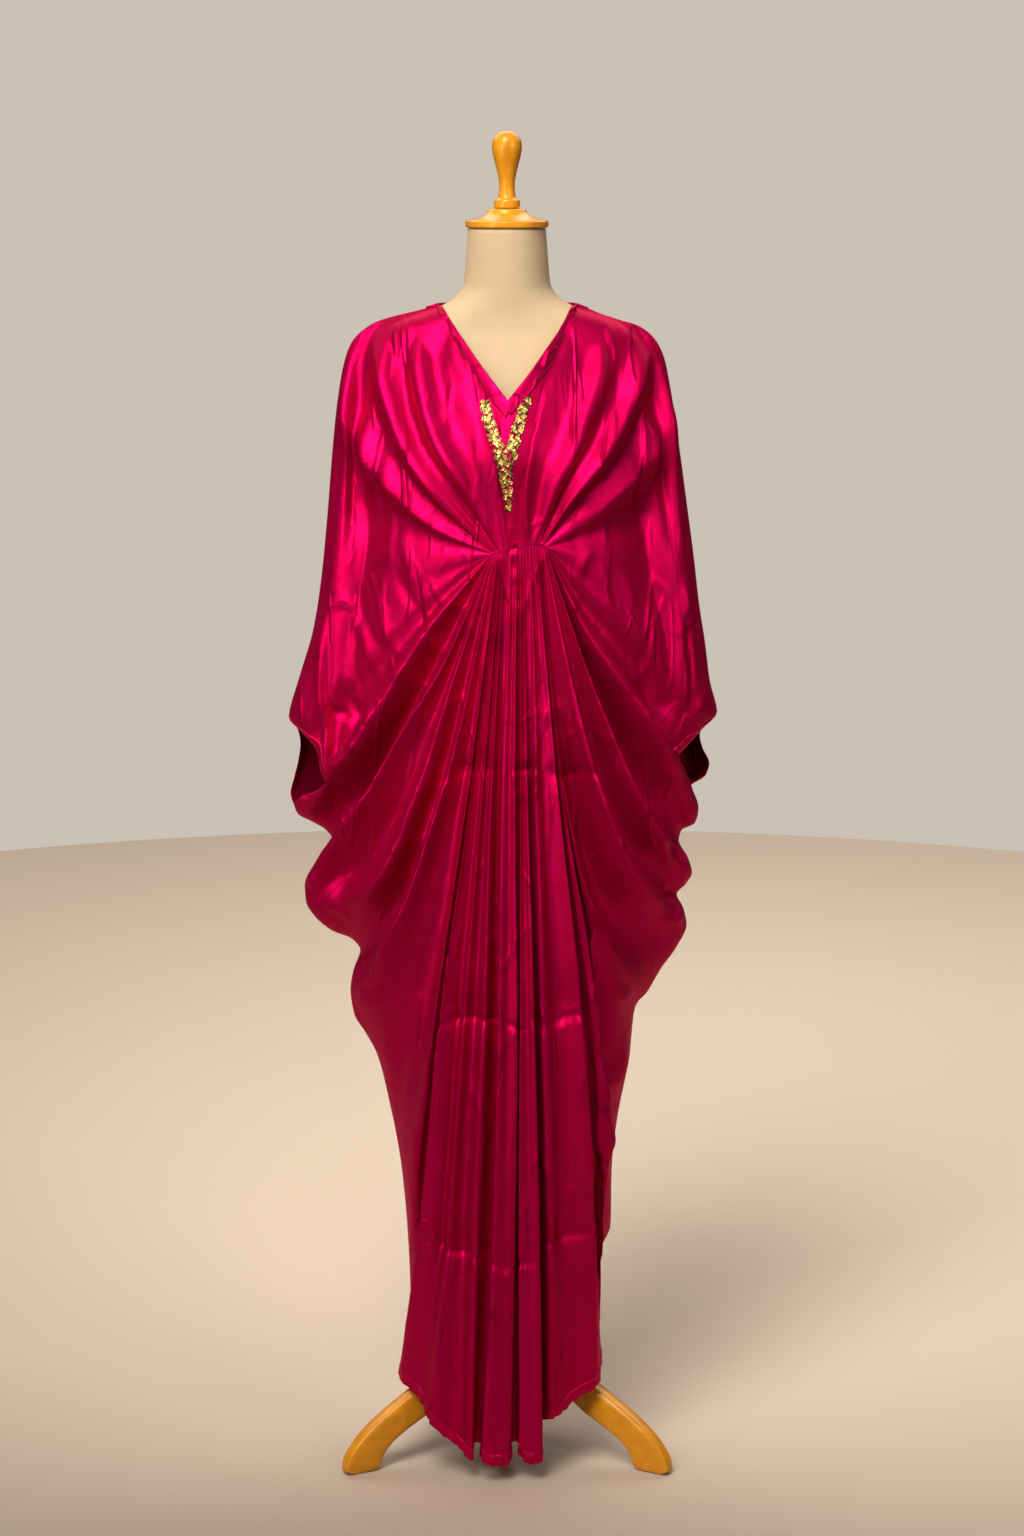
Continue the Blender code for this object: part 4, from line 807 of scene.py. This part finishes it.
def band_profile(width, thick, foot=0.3):
    """Section of a folded band: from its sewn edge over the outside, round the fold and back."""
    outside = [(width, 0.06), (width - 0.4, thick * 0.8), (width - 1.6, thick), (width * 0.5, thick * 1.05)]
    fold = [(1.2, thick), (0.1, thick * 0.75), (-foot, 0.06), (0.1, -thick * 0.6)]
    inside = [(1.2, -thick * 0.8), (width * 0.5, -thick * 0.8), (width - 0.6, -thick * 0.7)]
    return outside + fold + inside + [(width - 0.05, -0.06)]


def stitches(name, line, normal, pitch, material):
    """A row of thread stitches: small spindles laid end to end along a line of points, a share of each
    pitch long, their middle raised off the cloth."""
    run = run_of(line)
    centre = np.arange(pitch / 2, run[-1], pitch)

    def at(s, columns):
        return points_at(*(np.interp(s, run, column) for column in columns.T))

    half = pitch * STITCH_SHARE / 2
    start, up = at(centre - half, line), unit(at(centre, normal))
    way = at(centre + half, line) - start
    side = unit(np.cross(way, up))
    part, turn = np.linspace(0, 1, STITCH_RINGS)[:, None], full_turn(STITCH_SIDES)[:, None]
    radius = STITCH_THICK * np.sqrt(np.clip(4 * part * (1 - part), 0.02, 1))
    middle = start[:, None] + way[:, None] * part
    middle = middle + up[:, None] * (STITCH_LIFT + STITCH_ARCH * np.sin(np.pi * part))
    ring = side[:, None, None] * np.cos(turn) + up[:, None, None] * np.sin(turn)
    points = middle[:, :, None] + ring * radius[:, None]
    last = (STITCH_RINGS - 1) * STITCH_SIDES
    foot = np.array([[0, 1, 2, 3], [0, 3, 4, 5]])
    faces = np.concatenate([grid_faces(STITCH_RINGS, STITCH_SIDES, closed=True), foot, foot[:, ::-1] + last])
    faces = copied_faces(faces, len(centre), STITCH_RINGS * STITCH_SIDES)
    return new_piece(name, points, faces, material, "satin_band")


def worked(operation, flip=False):
    """A method that adds one Math node."""

    def method(self, other=None):
        return self.math(operation, other, flip)

    return method


class Socket:
    """One output of a material's node tree that takes part in sums written as Python expressions."""

    def __init__(self, tree, output):
        self.tree, self.output = tree, output

    def math(self, operation, other=None, flip=False, clamp=False):
        node = self.tree.nodes.new("ShaderNodeMath")
        node.operation, node.use_clamp = operation, clamp
        pair = [self] if other is None else [other, self] if flip else [self, other]
        for place, value in zip(node.inputs, pair):
            wire(self.tree, place, value)
        return Socket(self.tree, node.outputs[0])

    __add__ = __radd__ = worked("ADD")
    __mul__ = __rmul__ = worked("MULTIPLY")
    __sub__, __rsub__ = worked("SUBTRACT"), worked("SUBTRACT", flip=True)
    __abs__, sin = worked("ABSOLUTE"), worked("SINE")

    def clamped(self):
        return self.math("ADD", 0.0, clamp=True)


def wire(tree, place, value):
    if isinstance(value, Socket):
        tree.links.new(value.output, place)
    elif hasattr(value, "__len__") and len(place.default_value) == 4 and len(value) == 3:
        place.default_value = (*value, 1)
    else:
        place.default_value = value


class Finish:
    """A material: its nodes come from node(), its shader's values from shade()."""

    def __init__(self, name):
        self.material = bpy.data.materials.new(name)
        self.material.use_nodes = True
        self.tree = self.material.node_tree
        self.shader = self.tree.nodes["Principled BSDF"]

    def node(self, kind, settings=None, out=0, **values):
        """A node with its settings, its inputs by name or, as i0, i1 and so on, by number, and one
        output."""
        node = self.tree.nodes.new("ShaderNode" + kind)
        for key, value in (settings or {}).items():
            setattr(node, key, value)
        for key, value in values.items():
            numbered = key[0] == "i" and key[1:].isdigit()
            wire(self.tree, node.inputs[int(key[1:]) if numbered else key], value)
        return Socket(self.tree, node.outputs[out])

    def place(self, scale=(1, 1, 1), turn=(0, 0, 0), uv=False):
        """Object coordinates in metres, or the piece's own cloth map, turned and scaled."""
        start = self.node("UVMap", {"uv_map": "cloth"}) if uv else self.node("TexCoord", out=3)
        return self.node("Mapping", Vector=start, Rotation=turn, Scale=scale)

    def noise(self, vector, scale, detail=3.0, rough=0.5, distortion=0.0):
        return self.node(
            "TexNoise", Vector=vector, Scale=scale, Detail=detail, Roughness=rough, Distortion=distortion,
        )

    def mix(self, share, one, two):
        """A colour between two by a share."""
        return self.node("Mix", {"data_type": "RGBA"}, out=2, i0=share, i6=one, i7=two)

    def part(self, vector, axis):
        return self.node("SeparateXYZ", out=axis, Vector=vector)

    def bump(self, height, distance, strength=1.0, under=None):
        extra = {} if under is None else {"Normal": under}
        return self.node("Bump", Height=height, Distance=distance, Strength=strength, **extra)

    def shade(self, **values):
        for key, value in values.items():
            wire(self.tree, self.shader.inputs[key.replace("_", " ")], value)
        return self.material


def tinted(colour, factor):
    return tuple(min(1.0, c * factor) for c in colour)


# Satin: pitch of its threads in metres, and its worn lines as turn, scale and depth in metres
SATIN_PITCH, CANVAS_PITCH = 0.0005, 0.0011
SATIN_LINES = ((0.42, 10.0, 0.002), (-0.5, 16.0, 0.0015), (0.12, 24.0, 0.001))


def satin(name, shade=1.0, uv=True, rough=0.43):
    """Satin: fine floats of thread across the cloth, soft small creases, and tone that drifts a little."""
    finish = Finish(name)
    # The shade factor scales the satin's colour: below 1 it paints shade and above 1 it paints highlight, in
    # darker and lighter copies of the one satin
    base = tinted(colours().satin, shade)
    where = finish.place(uv=uv)
    colour = finish.mix((finish.noise(where, 9.0, 2.0) - 0.35) * 1.6, base, tinted(base, 0.82))
    slub = finish.noise(finish.place((60, 900, 60), uv=uv), 1.0, 2.0)
    threads = (finish.part(where, 1) * (2 * math.pi / SATIN_PITCH)).sin()
    small = finish.noise(where, 34.0, 4.0, 0.55, 0.6)
    fine = finish.noise(where, 120.0, 3.0, 0.5, 0.4)
    lines = finish.bump(fine, 0.0004, 0.4, finish.bump(small, 0.0007, 0.3))
    for turn, size, height in SATIN_LINES:
        wave = finish.noise(finish.place((1.0, 0.22, 1.0), (0, 0, turn), uv=uv), size, 1.0, 0.4, 0.2)
        ridge = (1 - abs(wave - 0.5) * 34).clamped()
        patch = ((finish.noise(where, size * 0.9, 1.0) - 0.46) * 8).clamped()
        lines = finish.bump(ridge * patch, height, 1.0, lines)
    weave = finish.bump(slub * 0.8 + threads * 0.2, 0.00005, 0.5, lines)
    return finish.shade(
        Base_Color=colour, Metallic=0.75, Roughness=rough + 0.05 * slub + 0.05 * small, Normal=weave,
        Specular_IOR_Level=0.25, Specular_Tint=(0.9, 0.0, 0.45),
    )


def canvas(name):
    """Unbleached canvas: a plain weave with slubs, and faint handling marks."""
    finish = Finish(name)
    where = finish.place()
    base = tuple(colours().canvas)
    warp, weft = ((finish.part(where, axis) * (2 * math.pi / CANVAS_PITCH)).sin() for axis in (0, 2))
    blotch = finish.noise(where, 14.0, 4.0, 0.6)
    slub = finish.noise(finish.place((300, 300, 1500)), 1.0, 2.0)
    colour = finish.mix((blotch - 0.4) * 1.5, base, tinted(base, 0.8))
    normal = finish.bump(warp * weft * 0.5 + slub, 0.00025, 0.6, finish.bump(blotch, 0.0012, 0.3))
    return finish.shade(
        Base_Color=colour, Roughness=0.84 + 0.08 * slub, Normal=normal, Specular_IOR_Level=0.25,
    )


def wood(name, along=2, lean=(0.0, 0.0, 0.0)):
    """Honey-coloured wood under lacquer: stretched grain with darker pores, over broad bands of tone."""
    finish = Finish(name)
    scale = np.full(3, 70.0)
    scale[along] = 5.0
    grain, bands, pores = (
        finish.noise(finish.place(tuple(scale * finer), lean), 1.0, *kind)
        for finer, kind in ((1, (5.0, 0.6, 0.8)), (0.22, (3.0, 0.5, 1.2)), (6, (2.0, 0.6)))
    )
    base = tuple(colours().wood)
    light = finish.mix((grain - 0.3) * 1.6, tinted(base, 1.18), tinted(base, 0.62))
    colour = finish.mix((bands - 0.42) * 1.5, light, tinted(base, 0.78))
    colour = finish.mix(((pores - 0.62) * 5).clamped() * 0.5, colour, tinted(base, 0.3))
    return finish.shade(
        Base_Color=colour, Roughness=0.3 + 0.08 * grain, Normal=finish.bump(pores, 0.0001, 0.25),
        Coat_Weight=0.25, Coat_Roughness=0.2, Specular_Tint=(1.0, 0.7, 0.35),
    )


def steel(name):
    """Drawn steel tube: fine lengthwise lines."""
    finish = Finish(name)
    lines = finish.noise(finish.place((900, 900, 6)), 1.0, 3.0)
    return finish.shade(
        Base_Color=(0.44, 0.44, 0.45), Metallic=1.0, Roughness=0.3 + 0.16 * lines,
        Normal=finish.bump(lines, 0.00004, 0.4),
    )


def trinket(name, colour, rough=0.26, metallic=1.0):
    """Sequin, leaf or bead: metal or glass with small dents and a tone that differs from one to the
    next."""
    finish = Finish(name)
    where = finish.place()
    piece = finish.noise(where, 330.0, 1.0)
    tone = finish.mix((piece - 0.4) * 2.4, tinted(colour, 1.15), tinted(colour, 0.5))
    dents = finish.noise(where, 900.0, 2.0)
    return finish.shade(
        Base_Color=tone, Metallic=metallic, Roughness=rough + 0.15 * dents, Coat_Weight=0.3,
        Normal=finish.bump(dents, 0.0002, 0.5),
    )


def thread(name):
    """Sewing thread: a twist of two plies."""
    finish = Finish(name)
    twist = finish.noise(finish.place((900, 900, 900)), 1.0, 2.0)
    base = tinted(colours().satin, 0.8)
    return finish.shade(
        Base_Color=finish.mix(twist, base, tinted(base, 0.6)), Roughness=0.55, Metallic=0.1,
        Normal=finish.bump(twist, 0.0001, 0.5),
    )


def finish_node(node, material):
    """Gives a node of the frame its finished material."""
    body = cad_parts[node]
    body.data.materials.clear()
    body.data.materials.append(material)


class KAFTAN_OT_form(bpy.types.Operator):
    """Build the canvas-covered form"""

    bl_idname = "kaftan.form"
    bl_label = "Form"

    def execute(self, context):
        body = new_piece("form_cover", *closed_by_poles(torso_surface()), canvas("canvas"), "form_canvas")
        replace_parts(body, "form_torso")
        return {"FINISHED"}


class KAFTAN_OT_stand(bpy.types.Operator):
    """Build the wooden cap, finial and legs, and finish the pole and hub"""

    bl_idname = "kaftan.stand"
    bl_label = "Stand"

    def execute(self, context):
        upright = wood("turned wood")
        pieces = [
            ("cap_turning", "neck_cap", lathe(CAP_PROFILE, 96)[::-1], upright),
            ("finial_turning", "neck_knob", lathe(KNOB_PROFILE, 72)[::-1], upright),
        ]
        for name, node, turn in LEGS:
            grain = wood(f"{node} wood", 0, (0, 0, -(turn - math.pi / 2)))
            pieces.append((name, node, leg_surface(turn), grain))
        for name, node, grid, material in pieces:
            body = turned_out(new_piece(name, *closed_by_poles(grid), material, "honey_wood"))
            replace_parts(body, node)
        finish_node("hub", upright)
        finish_node("pole", steel("drawn steel"))
        return {"FINISHED"}


def settled(body, form):
    """The shell moved out wherever it lies nearer the form than the clearance, by a Shrinkwrap that works
    only on the inside and is applied."""
    wrap = body.modifiers.new("clear of the form", "SHRINKWRAP")
    wrap.target, wrap.offset = form, sizes().form_clear
    wrap.wrap_method, wrap.wrap_mode = "NEAREST_SURFACEPOINT", "OUTSIDE"
    graph = bpy.context.evaluated_depsgraph_get()
    old, body.data = body.data, bpy.data.meshes.new_from_object(body.evaluated_get(graph))
    body.modifiers.clear()
    bpy.data.meshes.remove(old)


class KAFTAN_OT_panels(bpy.types.Operator):
    """Build the front and back panels as fine shells"""

    bl_idname = "kaftan.panels"
    bl_label = "Panels"

    def execute(self, context):
        cloth = satin("satin")
        u = front_stations()
        front = front_points(u, np.repeat(front_rows()[:, None], len(u), axis=1))
        back = back_points(seam_stations() - NECK_LEFT, 2 * even_rows(BACK_COLUMNS) - 1)
        for name, node, grid, closed in (("front_cloth", "front_panel", front, True),
                                         ("back_cloth", "back_panel", back, False)):
            rows, columns = grid.shape[:2]
            faces = grid_faces(rows, columns, closed=closed, flip=not closed)
            body = new_piece(name, grid, faces, cloth, "magenta_satin", uv=grid[..., ::2] * MM)
            body["rows"], body["columns"] = rows, columns
            settled(body, bpy.data.objects["form_cover"])
            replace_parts(body, node)
        return {"FINISHED"}


def shell(name, side=1):
    """Points and outward normals of a panel's shell, as grids."""
    body = bpy.data.objects[name]
    points = np.empty(len(body.data.vertices) * 3)
    body.data.vertices.foreach_get("co", points)
    grid = (points.reshape(body["rows"], body["columns"], 3) - POLE) / MM
    return grid, side * outward(grid)


def bound_edges():
    """The edges that are bound or turned: for each the points and normals of its panel up to that edge."""
    u, front, back = front_stations(), shell("front_cloth"), shell("back_cloth", -1)
    neck = np.concatenate([between(u, V_BOTTOM, NECK_LEFT)[::-1], between(u, NECK_RIGHT, STATIONS)[::-1]])
    columns = {
        "neck": neck,
        "hem_front": between(u, HEM_LEFT, HEM_RIGHT),
        "cuff_left_front": between(u, CUFF_TOP_LEFT, CUFF_FOOT_LEFT),
        "cuff_right_front": between(u, CUFF_FOOT_RIGHT, CUFF_TOP_RIGHT),
    }
    edges = {name: [grid[:, at] for grid in front] for name, at in columns.items()}
    edges["nape"], edges["hem_back"] = [grid[::-1] for grid in back], back
    rows = between(seam_stations(), CUFF_TOP_LEFT, CUFF_FOOT_LEFT)
    for name, side in (("cuff_left_back", 1), ("cuff_right_back", -1)):
        edges[name] = [np.swapaxes(grid[rows][:, ::side], 0, 1)[::-1] for grid in back]
    return edges


class KAFTAN_OT_bands(bpy.types.Operator):
    """Build the neckband and the turned hems and cuffs"""

    bl_idname = "kaftan.bands"
    bl_label = "Neckband, hem and cuffs"

    def execute(self, context):
        edges = bound_edges()
        # Painted shade: the neckband and gather stay wear a copy of the satin 0.93 times as bright, standing
        # for the shade on the band
        band = satin("band satin painted darker", 0.93, uv=False, rough=0.38)
        # Painted highlight: the hems and cuffs wear a copy of the satin 1.15 times lighter, standing for the
        # light on them
        hem_satin_painted_lighter = satin("hem satin painted lighter", 1.15, uv=False, rough=0.36)
        section = band_profile(sizes().neckband_width / MM, BAND_THICK)
        for name, edge, slant, nodes in (
            ("neckband_front", "neck", slant_of(edges["neck"][0]), ("neckband_left", "neckband_right")),
            ("neckband_nape", "nape", 1, ("neckband_back",)),
        ):
            rings = band_surface(*edges[edge], section, slant)
            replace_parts(rings_piece(name, rings, band, "satin_band"), *nodes)
        finish_node("gather_stay", band)
        section = band_profile(sizes().hem_width / MM, HEM_THICK)
        for name in ("hem_front", "cuff_left_front", "cuff_right_front", "hem_back", "cuff_left_back",
                     "cuff_right_back"):
            rings_piece(name, band_surface(*edges[name], section), hem_satin_painted_lighter, "magenta_satin")
        return {"FINISHED"}


class KAFTAN_OT_stitching(bpy.types.Operator):
    """Sew the rows of stitches along the neckband, the hems and the cuffs"""

    bl_idname = "kaftan.stitching"
    bl_label = "Stitching"

    def execute(self, context):
        edges = bound_edges()
        sewing = thread("sewing thread")
        band = sizes().neckband_width / MM - BAND_STITCH_IN
        hem = sizes().hem_width / MM - HEM_STITCH_IN
        for name, edge, inward, lift in (
            ("neck_stitches", "neck", band * slant_of(edges["neck"][0]), BAND_STITCH_OFF),
            ("nape_stitches", "nape", band, BAND_STITCH_OFF),
            ("hem_stitches", "hem_front", hem, HEM_STITCH_OFF),
            ("hem_back_stitches", "hem_back", hem, HEM_STITCH_OFF),
            ("cuff_left_stitches", "cuff_left_front", hem, HEM_STITCH_OFF),
            ("cuff_right_stitches", "cuff_right_front", hem, HEM_STITCH_OFF),
        ):
            spot, out = in_from_edge(np.concatenate(edges[edge], axis=2), inward)
            stitches(name, spot + out * lift, out, sizes().stitch_pitch / MM, sewing)
        return {"FINISHED"}


def shell_spot(x, z):
    """Points and normals on the front shell nearest to places given as x and z: the mean of the four
    nearest, weighted by one over the square of their distance."""
    grid, normal = shell("front_cloth")
    near = (np.abs(grid[..., 0]) < TRIM_HALF) & (grid[..., 2] > TRIM_FOOT) & (grid[..., 2] < TRIM_TOP)
    points, normals = grid[near], normal[near]
    away = (points[None, :, 0] - x[:, None]) ** 2 + (points[None, :, 2] - z[:, None]) ** 2
    order = np.argsort(away, axis=1)[:, :4]
    weight = 1 / (np.take_along_axis(away, order, axis=1) + 0.05)
    weight /= weight.sum(axis=1, keepdims=True)
    spot, out = ((values[order] * weight[..., None]).sum(axis=1) for values in (points, normals))
    return points_at(x, spot[:, 1], z), unit(out)


def set_on(name, shape, faces, x, z, lift, size, turn, lean, material):
    """Copies of a small shape set on the front shell: each is scaled, turned about the shell's normal,
    tipped a little, and lifted off the cloth."""
    spot, out = shell_spot(x, z)
    side = unit(np.cross((0.0, 0.0, 1.0), out))
    tall = np.cross(out, side)
    cosine, sine = np.cos(turn)[:, None], np.sin(turn)[:, None]
    right, ahead = side * cosine + tall * sine, tall * cosine - side * sine
    out = unit(out + right * lean[:, :1] + ahead * lean[:, 1:])
    points = np.einsum("pk,nkc->npc", shape, np.stack([right, ahead, out], axis=1)) * size[:, None, None]
    points = points + (spot + out * lift)[:, None]
    return new_piece(name, points, copied_faces(faces, len(x), len(shape)), material, "satin_band")


def disc_shape(sides=10):
    """A cupped sequin of unit radius: rings at the hole, the cup and the rim, then back under the rim."""
    rings = table("0.16 -0.1, 0.45 -0.16, 0.8 -0.06, 1 0.08, 0.99 0, 0.75 -0.16, 0.4 -0.26, 0.16 -0.2").T
    turn = full_turn(sides)
    radius, height = rings[:, :1], rings[:, 1:]
    faces = grid_faces(len(rings) + 1, sides, closed=True) % (len(rings) * sides)
    return points_at(radius * np.cos(turn), radius * np.sin(turn), height).reshape(-1, 3), faces


def leaf_shape(rows=7):
    """A pointed, ridged leaf two units long: half width the sine of the length, with a raised rib and a
    thin wall."""
    s = np.linspace(0, 1, rows)[:, None]
    half = np.sin(np.pi * (0.03 + 0.94 * s)) ** 0.8
    across, height = table("-1 0, -0.5 0.12, 0 0.26, 0.5 0.12, 1 0, 0 0.02")
    points = points_at(0.42 * half * across, 2 * s - 1, height * half + 0.03)
    ends = np.array([[3, 2, 1, 0], [5, 4, 3, 0]])
    faces = [grid_faces(rows, 6, closed=True), ends, ends[:, ::-1] + (rows - 1) * 6]
    return points.reshape(-1, 3), np.concatenate(faces)


def bead_shape():
    """A round bead of unit radius, its two ends cut flat."""
    turn = full_turn(8)
    rise = np.linspace(-0.42, 0.42, 6)[:, None] * np.pi
    points = points_at(np.cos(rise) * np.cos(turn), np.sin(rise), np.cos(rise) * np.sin(turn))
    ends = np.array([[0, 1, 2, 3], [0, 3, 4, 7], [4, 5, 6, 7]])
    return points.reshape(-1, 3), np.concatenate([grid_faces(6, 8, closed=True), ends, ends[:, ::-1] + 40])


class KAFTAN_OT_trim(bpy.types.Operator):
    """Sew on the Y-shaped trim of sequins, leaves and beads under the neck"""

    bl_idname = "kaftan.trim"
    bl_label = "Sequin trim"

    def execute(self, context):
        rng = np.random.default_rng(TRIM_SEED)
        gold = trinket("gold sequin", tuple(colours().gold))
        olive = trinket("olive leaf", (0.16, 0.13, 0.035), 0.34)
        red = trinket("red bead", (0.42, 0.01, 0.03), 0.18, 0.0)
        arms = []
        for path in TRIM_PATHS:
            run = run_of(path[:2].T)
            at = np.linspace(0, run[-1], max(3, round(sizes().sequins * run[-1] / TRIM_ARM)))
            arms.append([np.interp(at, run, column) for column in path])
        x, z, wide = np.concatenate(arms, axis=1)
        x = np.concatenate([x + share * wide for share in TRIM_ACROSS])
        z = np.concatenate([z + step for step in TRIM_STEPS])
        count = len(x)
        x, z = x + rng.normal(0, 0.7, count), z + rng.normal(0, 0.9, count)
        kind = rng.random(count)
        for name, shape, low, high, size, lift, material in (
            ("gold_sequins", disc_shape(), 0.0, 0.52, 2.3, 1.4, gold),
            ("olive_leaves", leaf_shape(), 0.52, 0.92, 3.2, 0.9, olive),
            ("red_beads", bead_shape(), 0.92, 1.01, 1.4, 1.8, red),
        ):
            here = np.flatnonzero((kind >= low) & (kind < high))
            n = len(here)
            scale, turn = size * rng.uniform(0.82, 1.2, n), rng.uniform(0, 2 * np.pi, n)
            lean = rng.normal(0, 0.22, (n, 2))
            set_on(name, *shape, x[here], z[here], lift, scale, turn, lean, material)
        return {"FINISHED"}


def studio():
    """The room: a soft dim light all round, and a pale backdrop for whatever looks past the object."""
    world = bpy.data.worlds.new("studio")
    world.use_nodes = True
    nodes, links = world.node_tree.nodes, world.node_tree.links
    room, backdrop = nodes["Background"], nodes.new("ShaderNodeBackground")
    room.inputs["Color"].default_value = (*ROOM_COLOUR, 1)
    room.inputs["Strength"].default_value = ROOM_STRENGTH
    backdrop.inputs["Color"].default_value = (*BACKDROP_COLOUR, 1)
    seen, pick = nodes.new("ShaderNodeLightPath"), nodes.new("ShaderNodeMixShader")
    links.new(seen.outputs["Is Camera Ray"], pick.inputs[0])
    links.new(room.outputs[0], pick.inputs[1])
    links.new(backdrop.outputs[0], pick.inputs[2])
    links.new(pick.outputs[0], nodes["World Output"].inputs["Surface"])
    return world


def placed(name, data, place=(0, 0, 0), turn=(0, 0, 0)):
    """A new object of the scene at a place, turned."""
    body = bpy.data.objects.new(name, data)
    body.location, body.rotation_euler = place, turn
    bpy.context.scene.collection.objects.link(body)
    return body


class KAFTAN_OT_stage(bpy.types.Operator):
    """Lay the floor and set the lights and the camera"""

    bl_idname = "kaftan.stage"
    bl_label = "Floor, lights and camera"

    def execute(self, context):
        scene = context.scene
        finish = Finish("floor")
        grain = finish.noise(finish.place(), 3.0, 3.0)
        base = tuple(colours().floor)
        tone = finish.mix(grain, base, tinted(base, 0.97))
        finish.shade(Base_Color=tone, Roughness=0.85, Specular_IOR_Level=0.2)
        turn = full_turn(FLOOR_SIDES)
        ring = points_at(np.cos(turn), np.sin(turn), 0) * FLOOR_RADIUS + (*FLOOR_CENTRE, 0)
        mesh = bpy.data.meshes.new("floor")
        mesh.from_pydata(ring.tolist(), [], [tuple(range(FLOOR_SIDES))])
        mesh.materials.append(finish.material)
        placed("floor", mesh)
        scene.world = studio()
        scene.view_settings.view_transform = "Standard"
        for name, place, aim, size, watts, warm, spread in LIGHTS:
            light = bpy.data.lights.new(name, "AREA")
            light.shape, light.size, light.size_y = "RECTANGLE", size[0], size[1]
            light.energy, light.color, light.spread = watts, warm, math.radians(spread)
            way = np.array(aim) - np.array(place)
            turn = (math.atan2(math.hypot(way[0], way[1]), -way[2]), 0, math.atan2(-way[0], way[1]))
            placed(name, light, place, turn)
        camera = bpy.data.cameras.new("camera")
        camera.sensor_fit, camera.sensor_height, camera.lens = "VERTICAL", SENSOR, LENS
        eye = np.array(CAMERA_AT) + POLE
        scene.camera = placed("camera", camera, eye, (math.pi / 2 - CAMERA_DOWN, 0, 0))
        return {"FINISHED"}


OPERATORS = (
    KAFTAN_OT_form, KAFTAN_OT_stand, KAFTAN_OT_panels, KAFTAN_OT_bands, KAFTAN_OT_stitching, KAFTAN_OT_trim,
    KAFTAN_OT_stage,
)


class KAFTAN_PT_panel(bpy.types.Panel):
    """Lists the steps that build the kaftan, and its sizes and colours"""

    bl_label = "Kaftan"
    bl_idname = "KAFTAN_PT_panel"
    bl_space_type = "VIEW_3D"
    bl_region_type = "UI"
    bl_category = "Kaftan"

    def draw(self, context):
        for operator in OPERATORS:
            self.layout.operator(operator.bl_idname)
        for group in (context.scene.kaftan_sizes, context.scene.kaftan_colours):
            for key in group.bl_rna.properties.keys():
                if key not in ("rna_type", "name"):
                    self.layout.prop(group, key)


CLASSES = (KaftanSizes, KaftanColours, *OPERATORS, KAFTAN_PT_panel)


def register():
    for item in CLASSES:
        bpy.utils.register_class(item)
    bpy.types.Scene.kaftan_sizes = PointerProperty(type=KaftanSizes)
    bpy.types.Scene.kaftan_colours = PointerProperty(type=KaftanColours)


def unregister():
    del bpy.types.Scene.kaftan_sizes
    del bpy.types.Scene.kaftan_colours
    for item in reversed(CLASSES):
        bpy.utils.unregister_class(item)


def main():
    register()
    for operator in OPERATORS:
        getattr(bpy.ops.kaftan, operator.bl_idname.split(".")[1])()


if __name__ == "__main__":
    main()
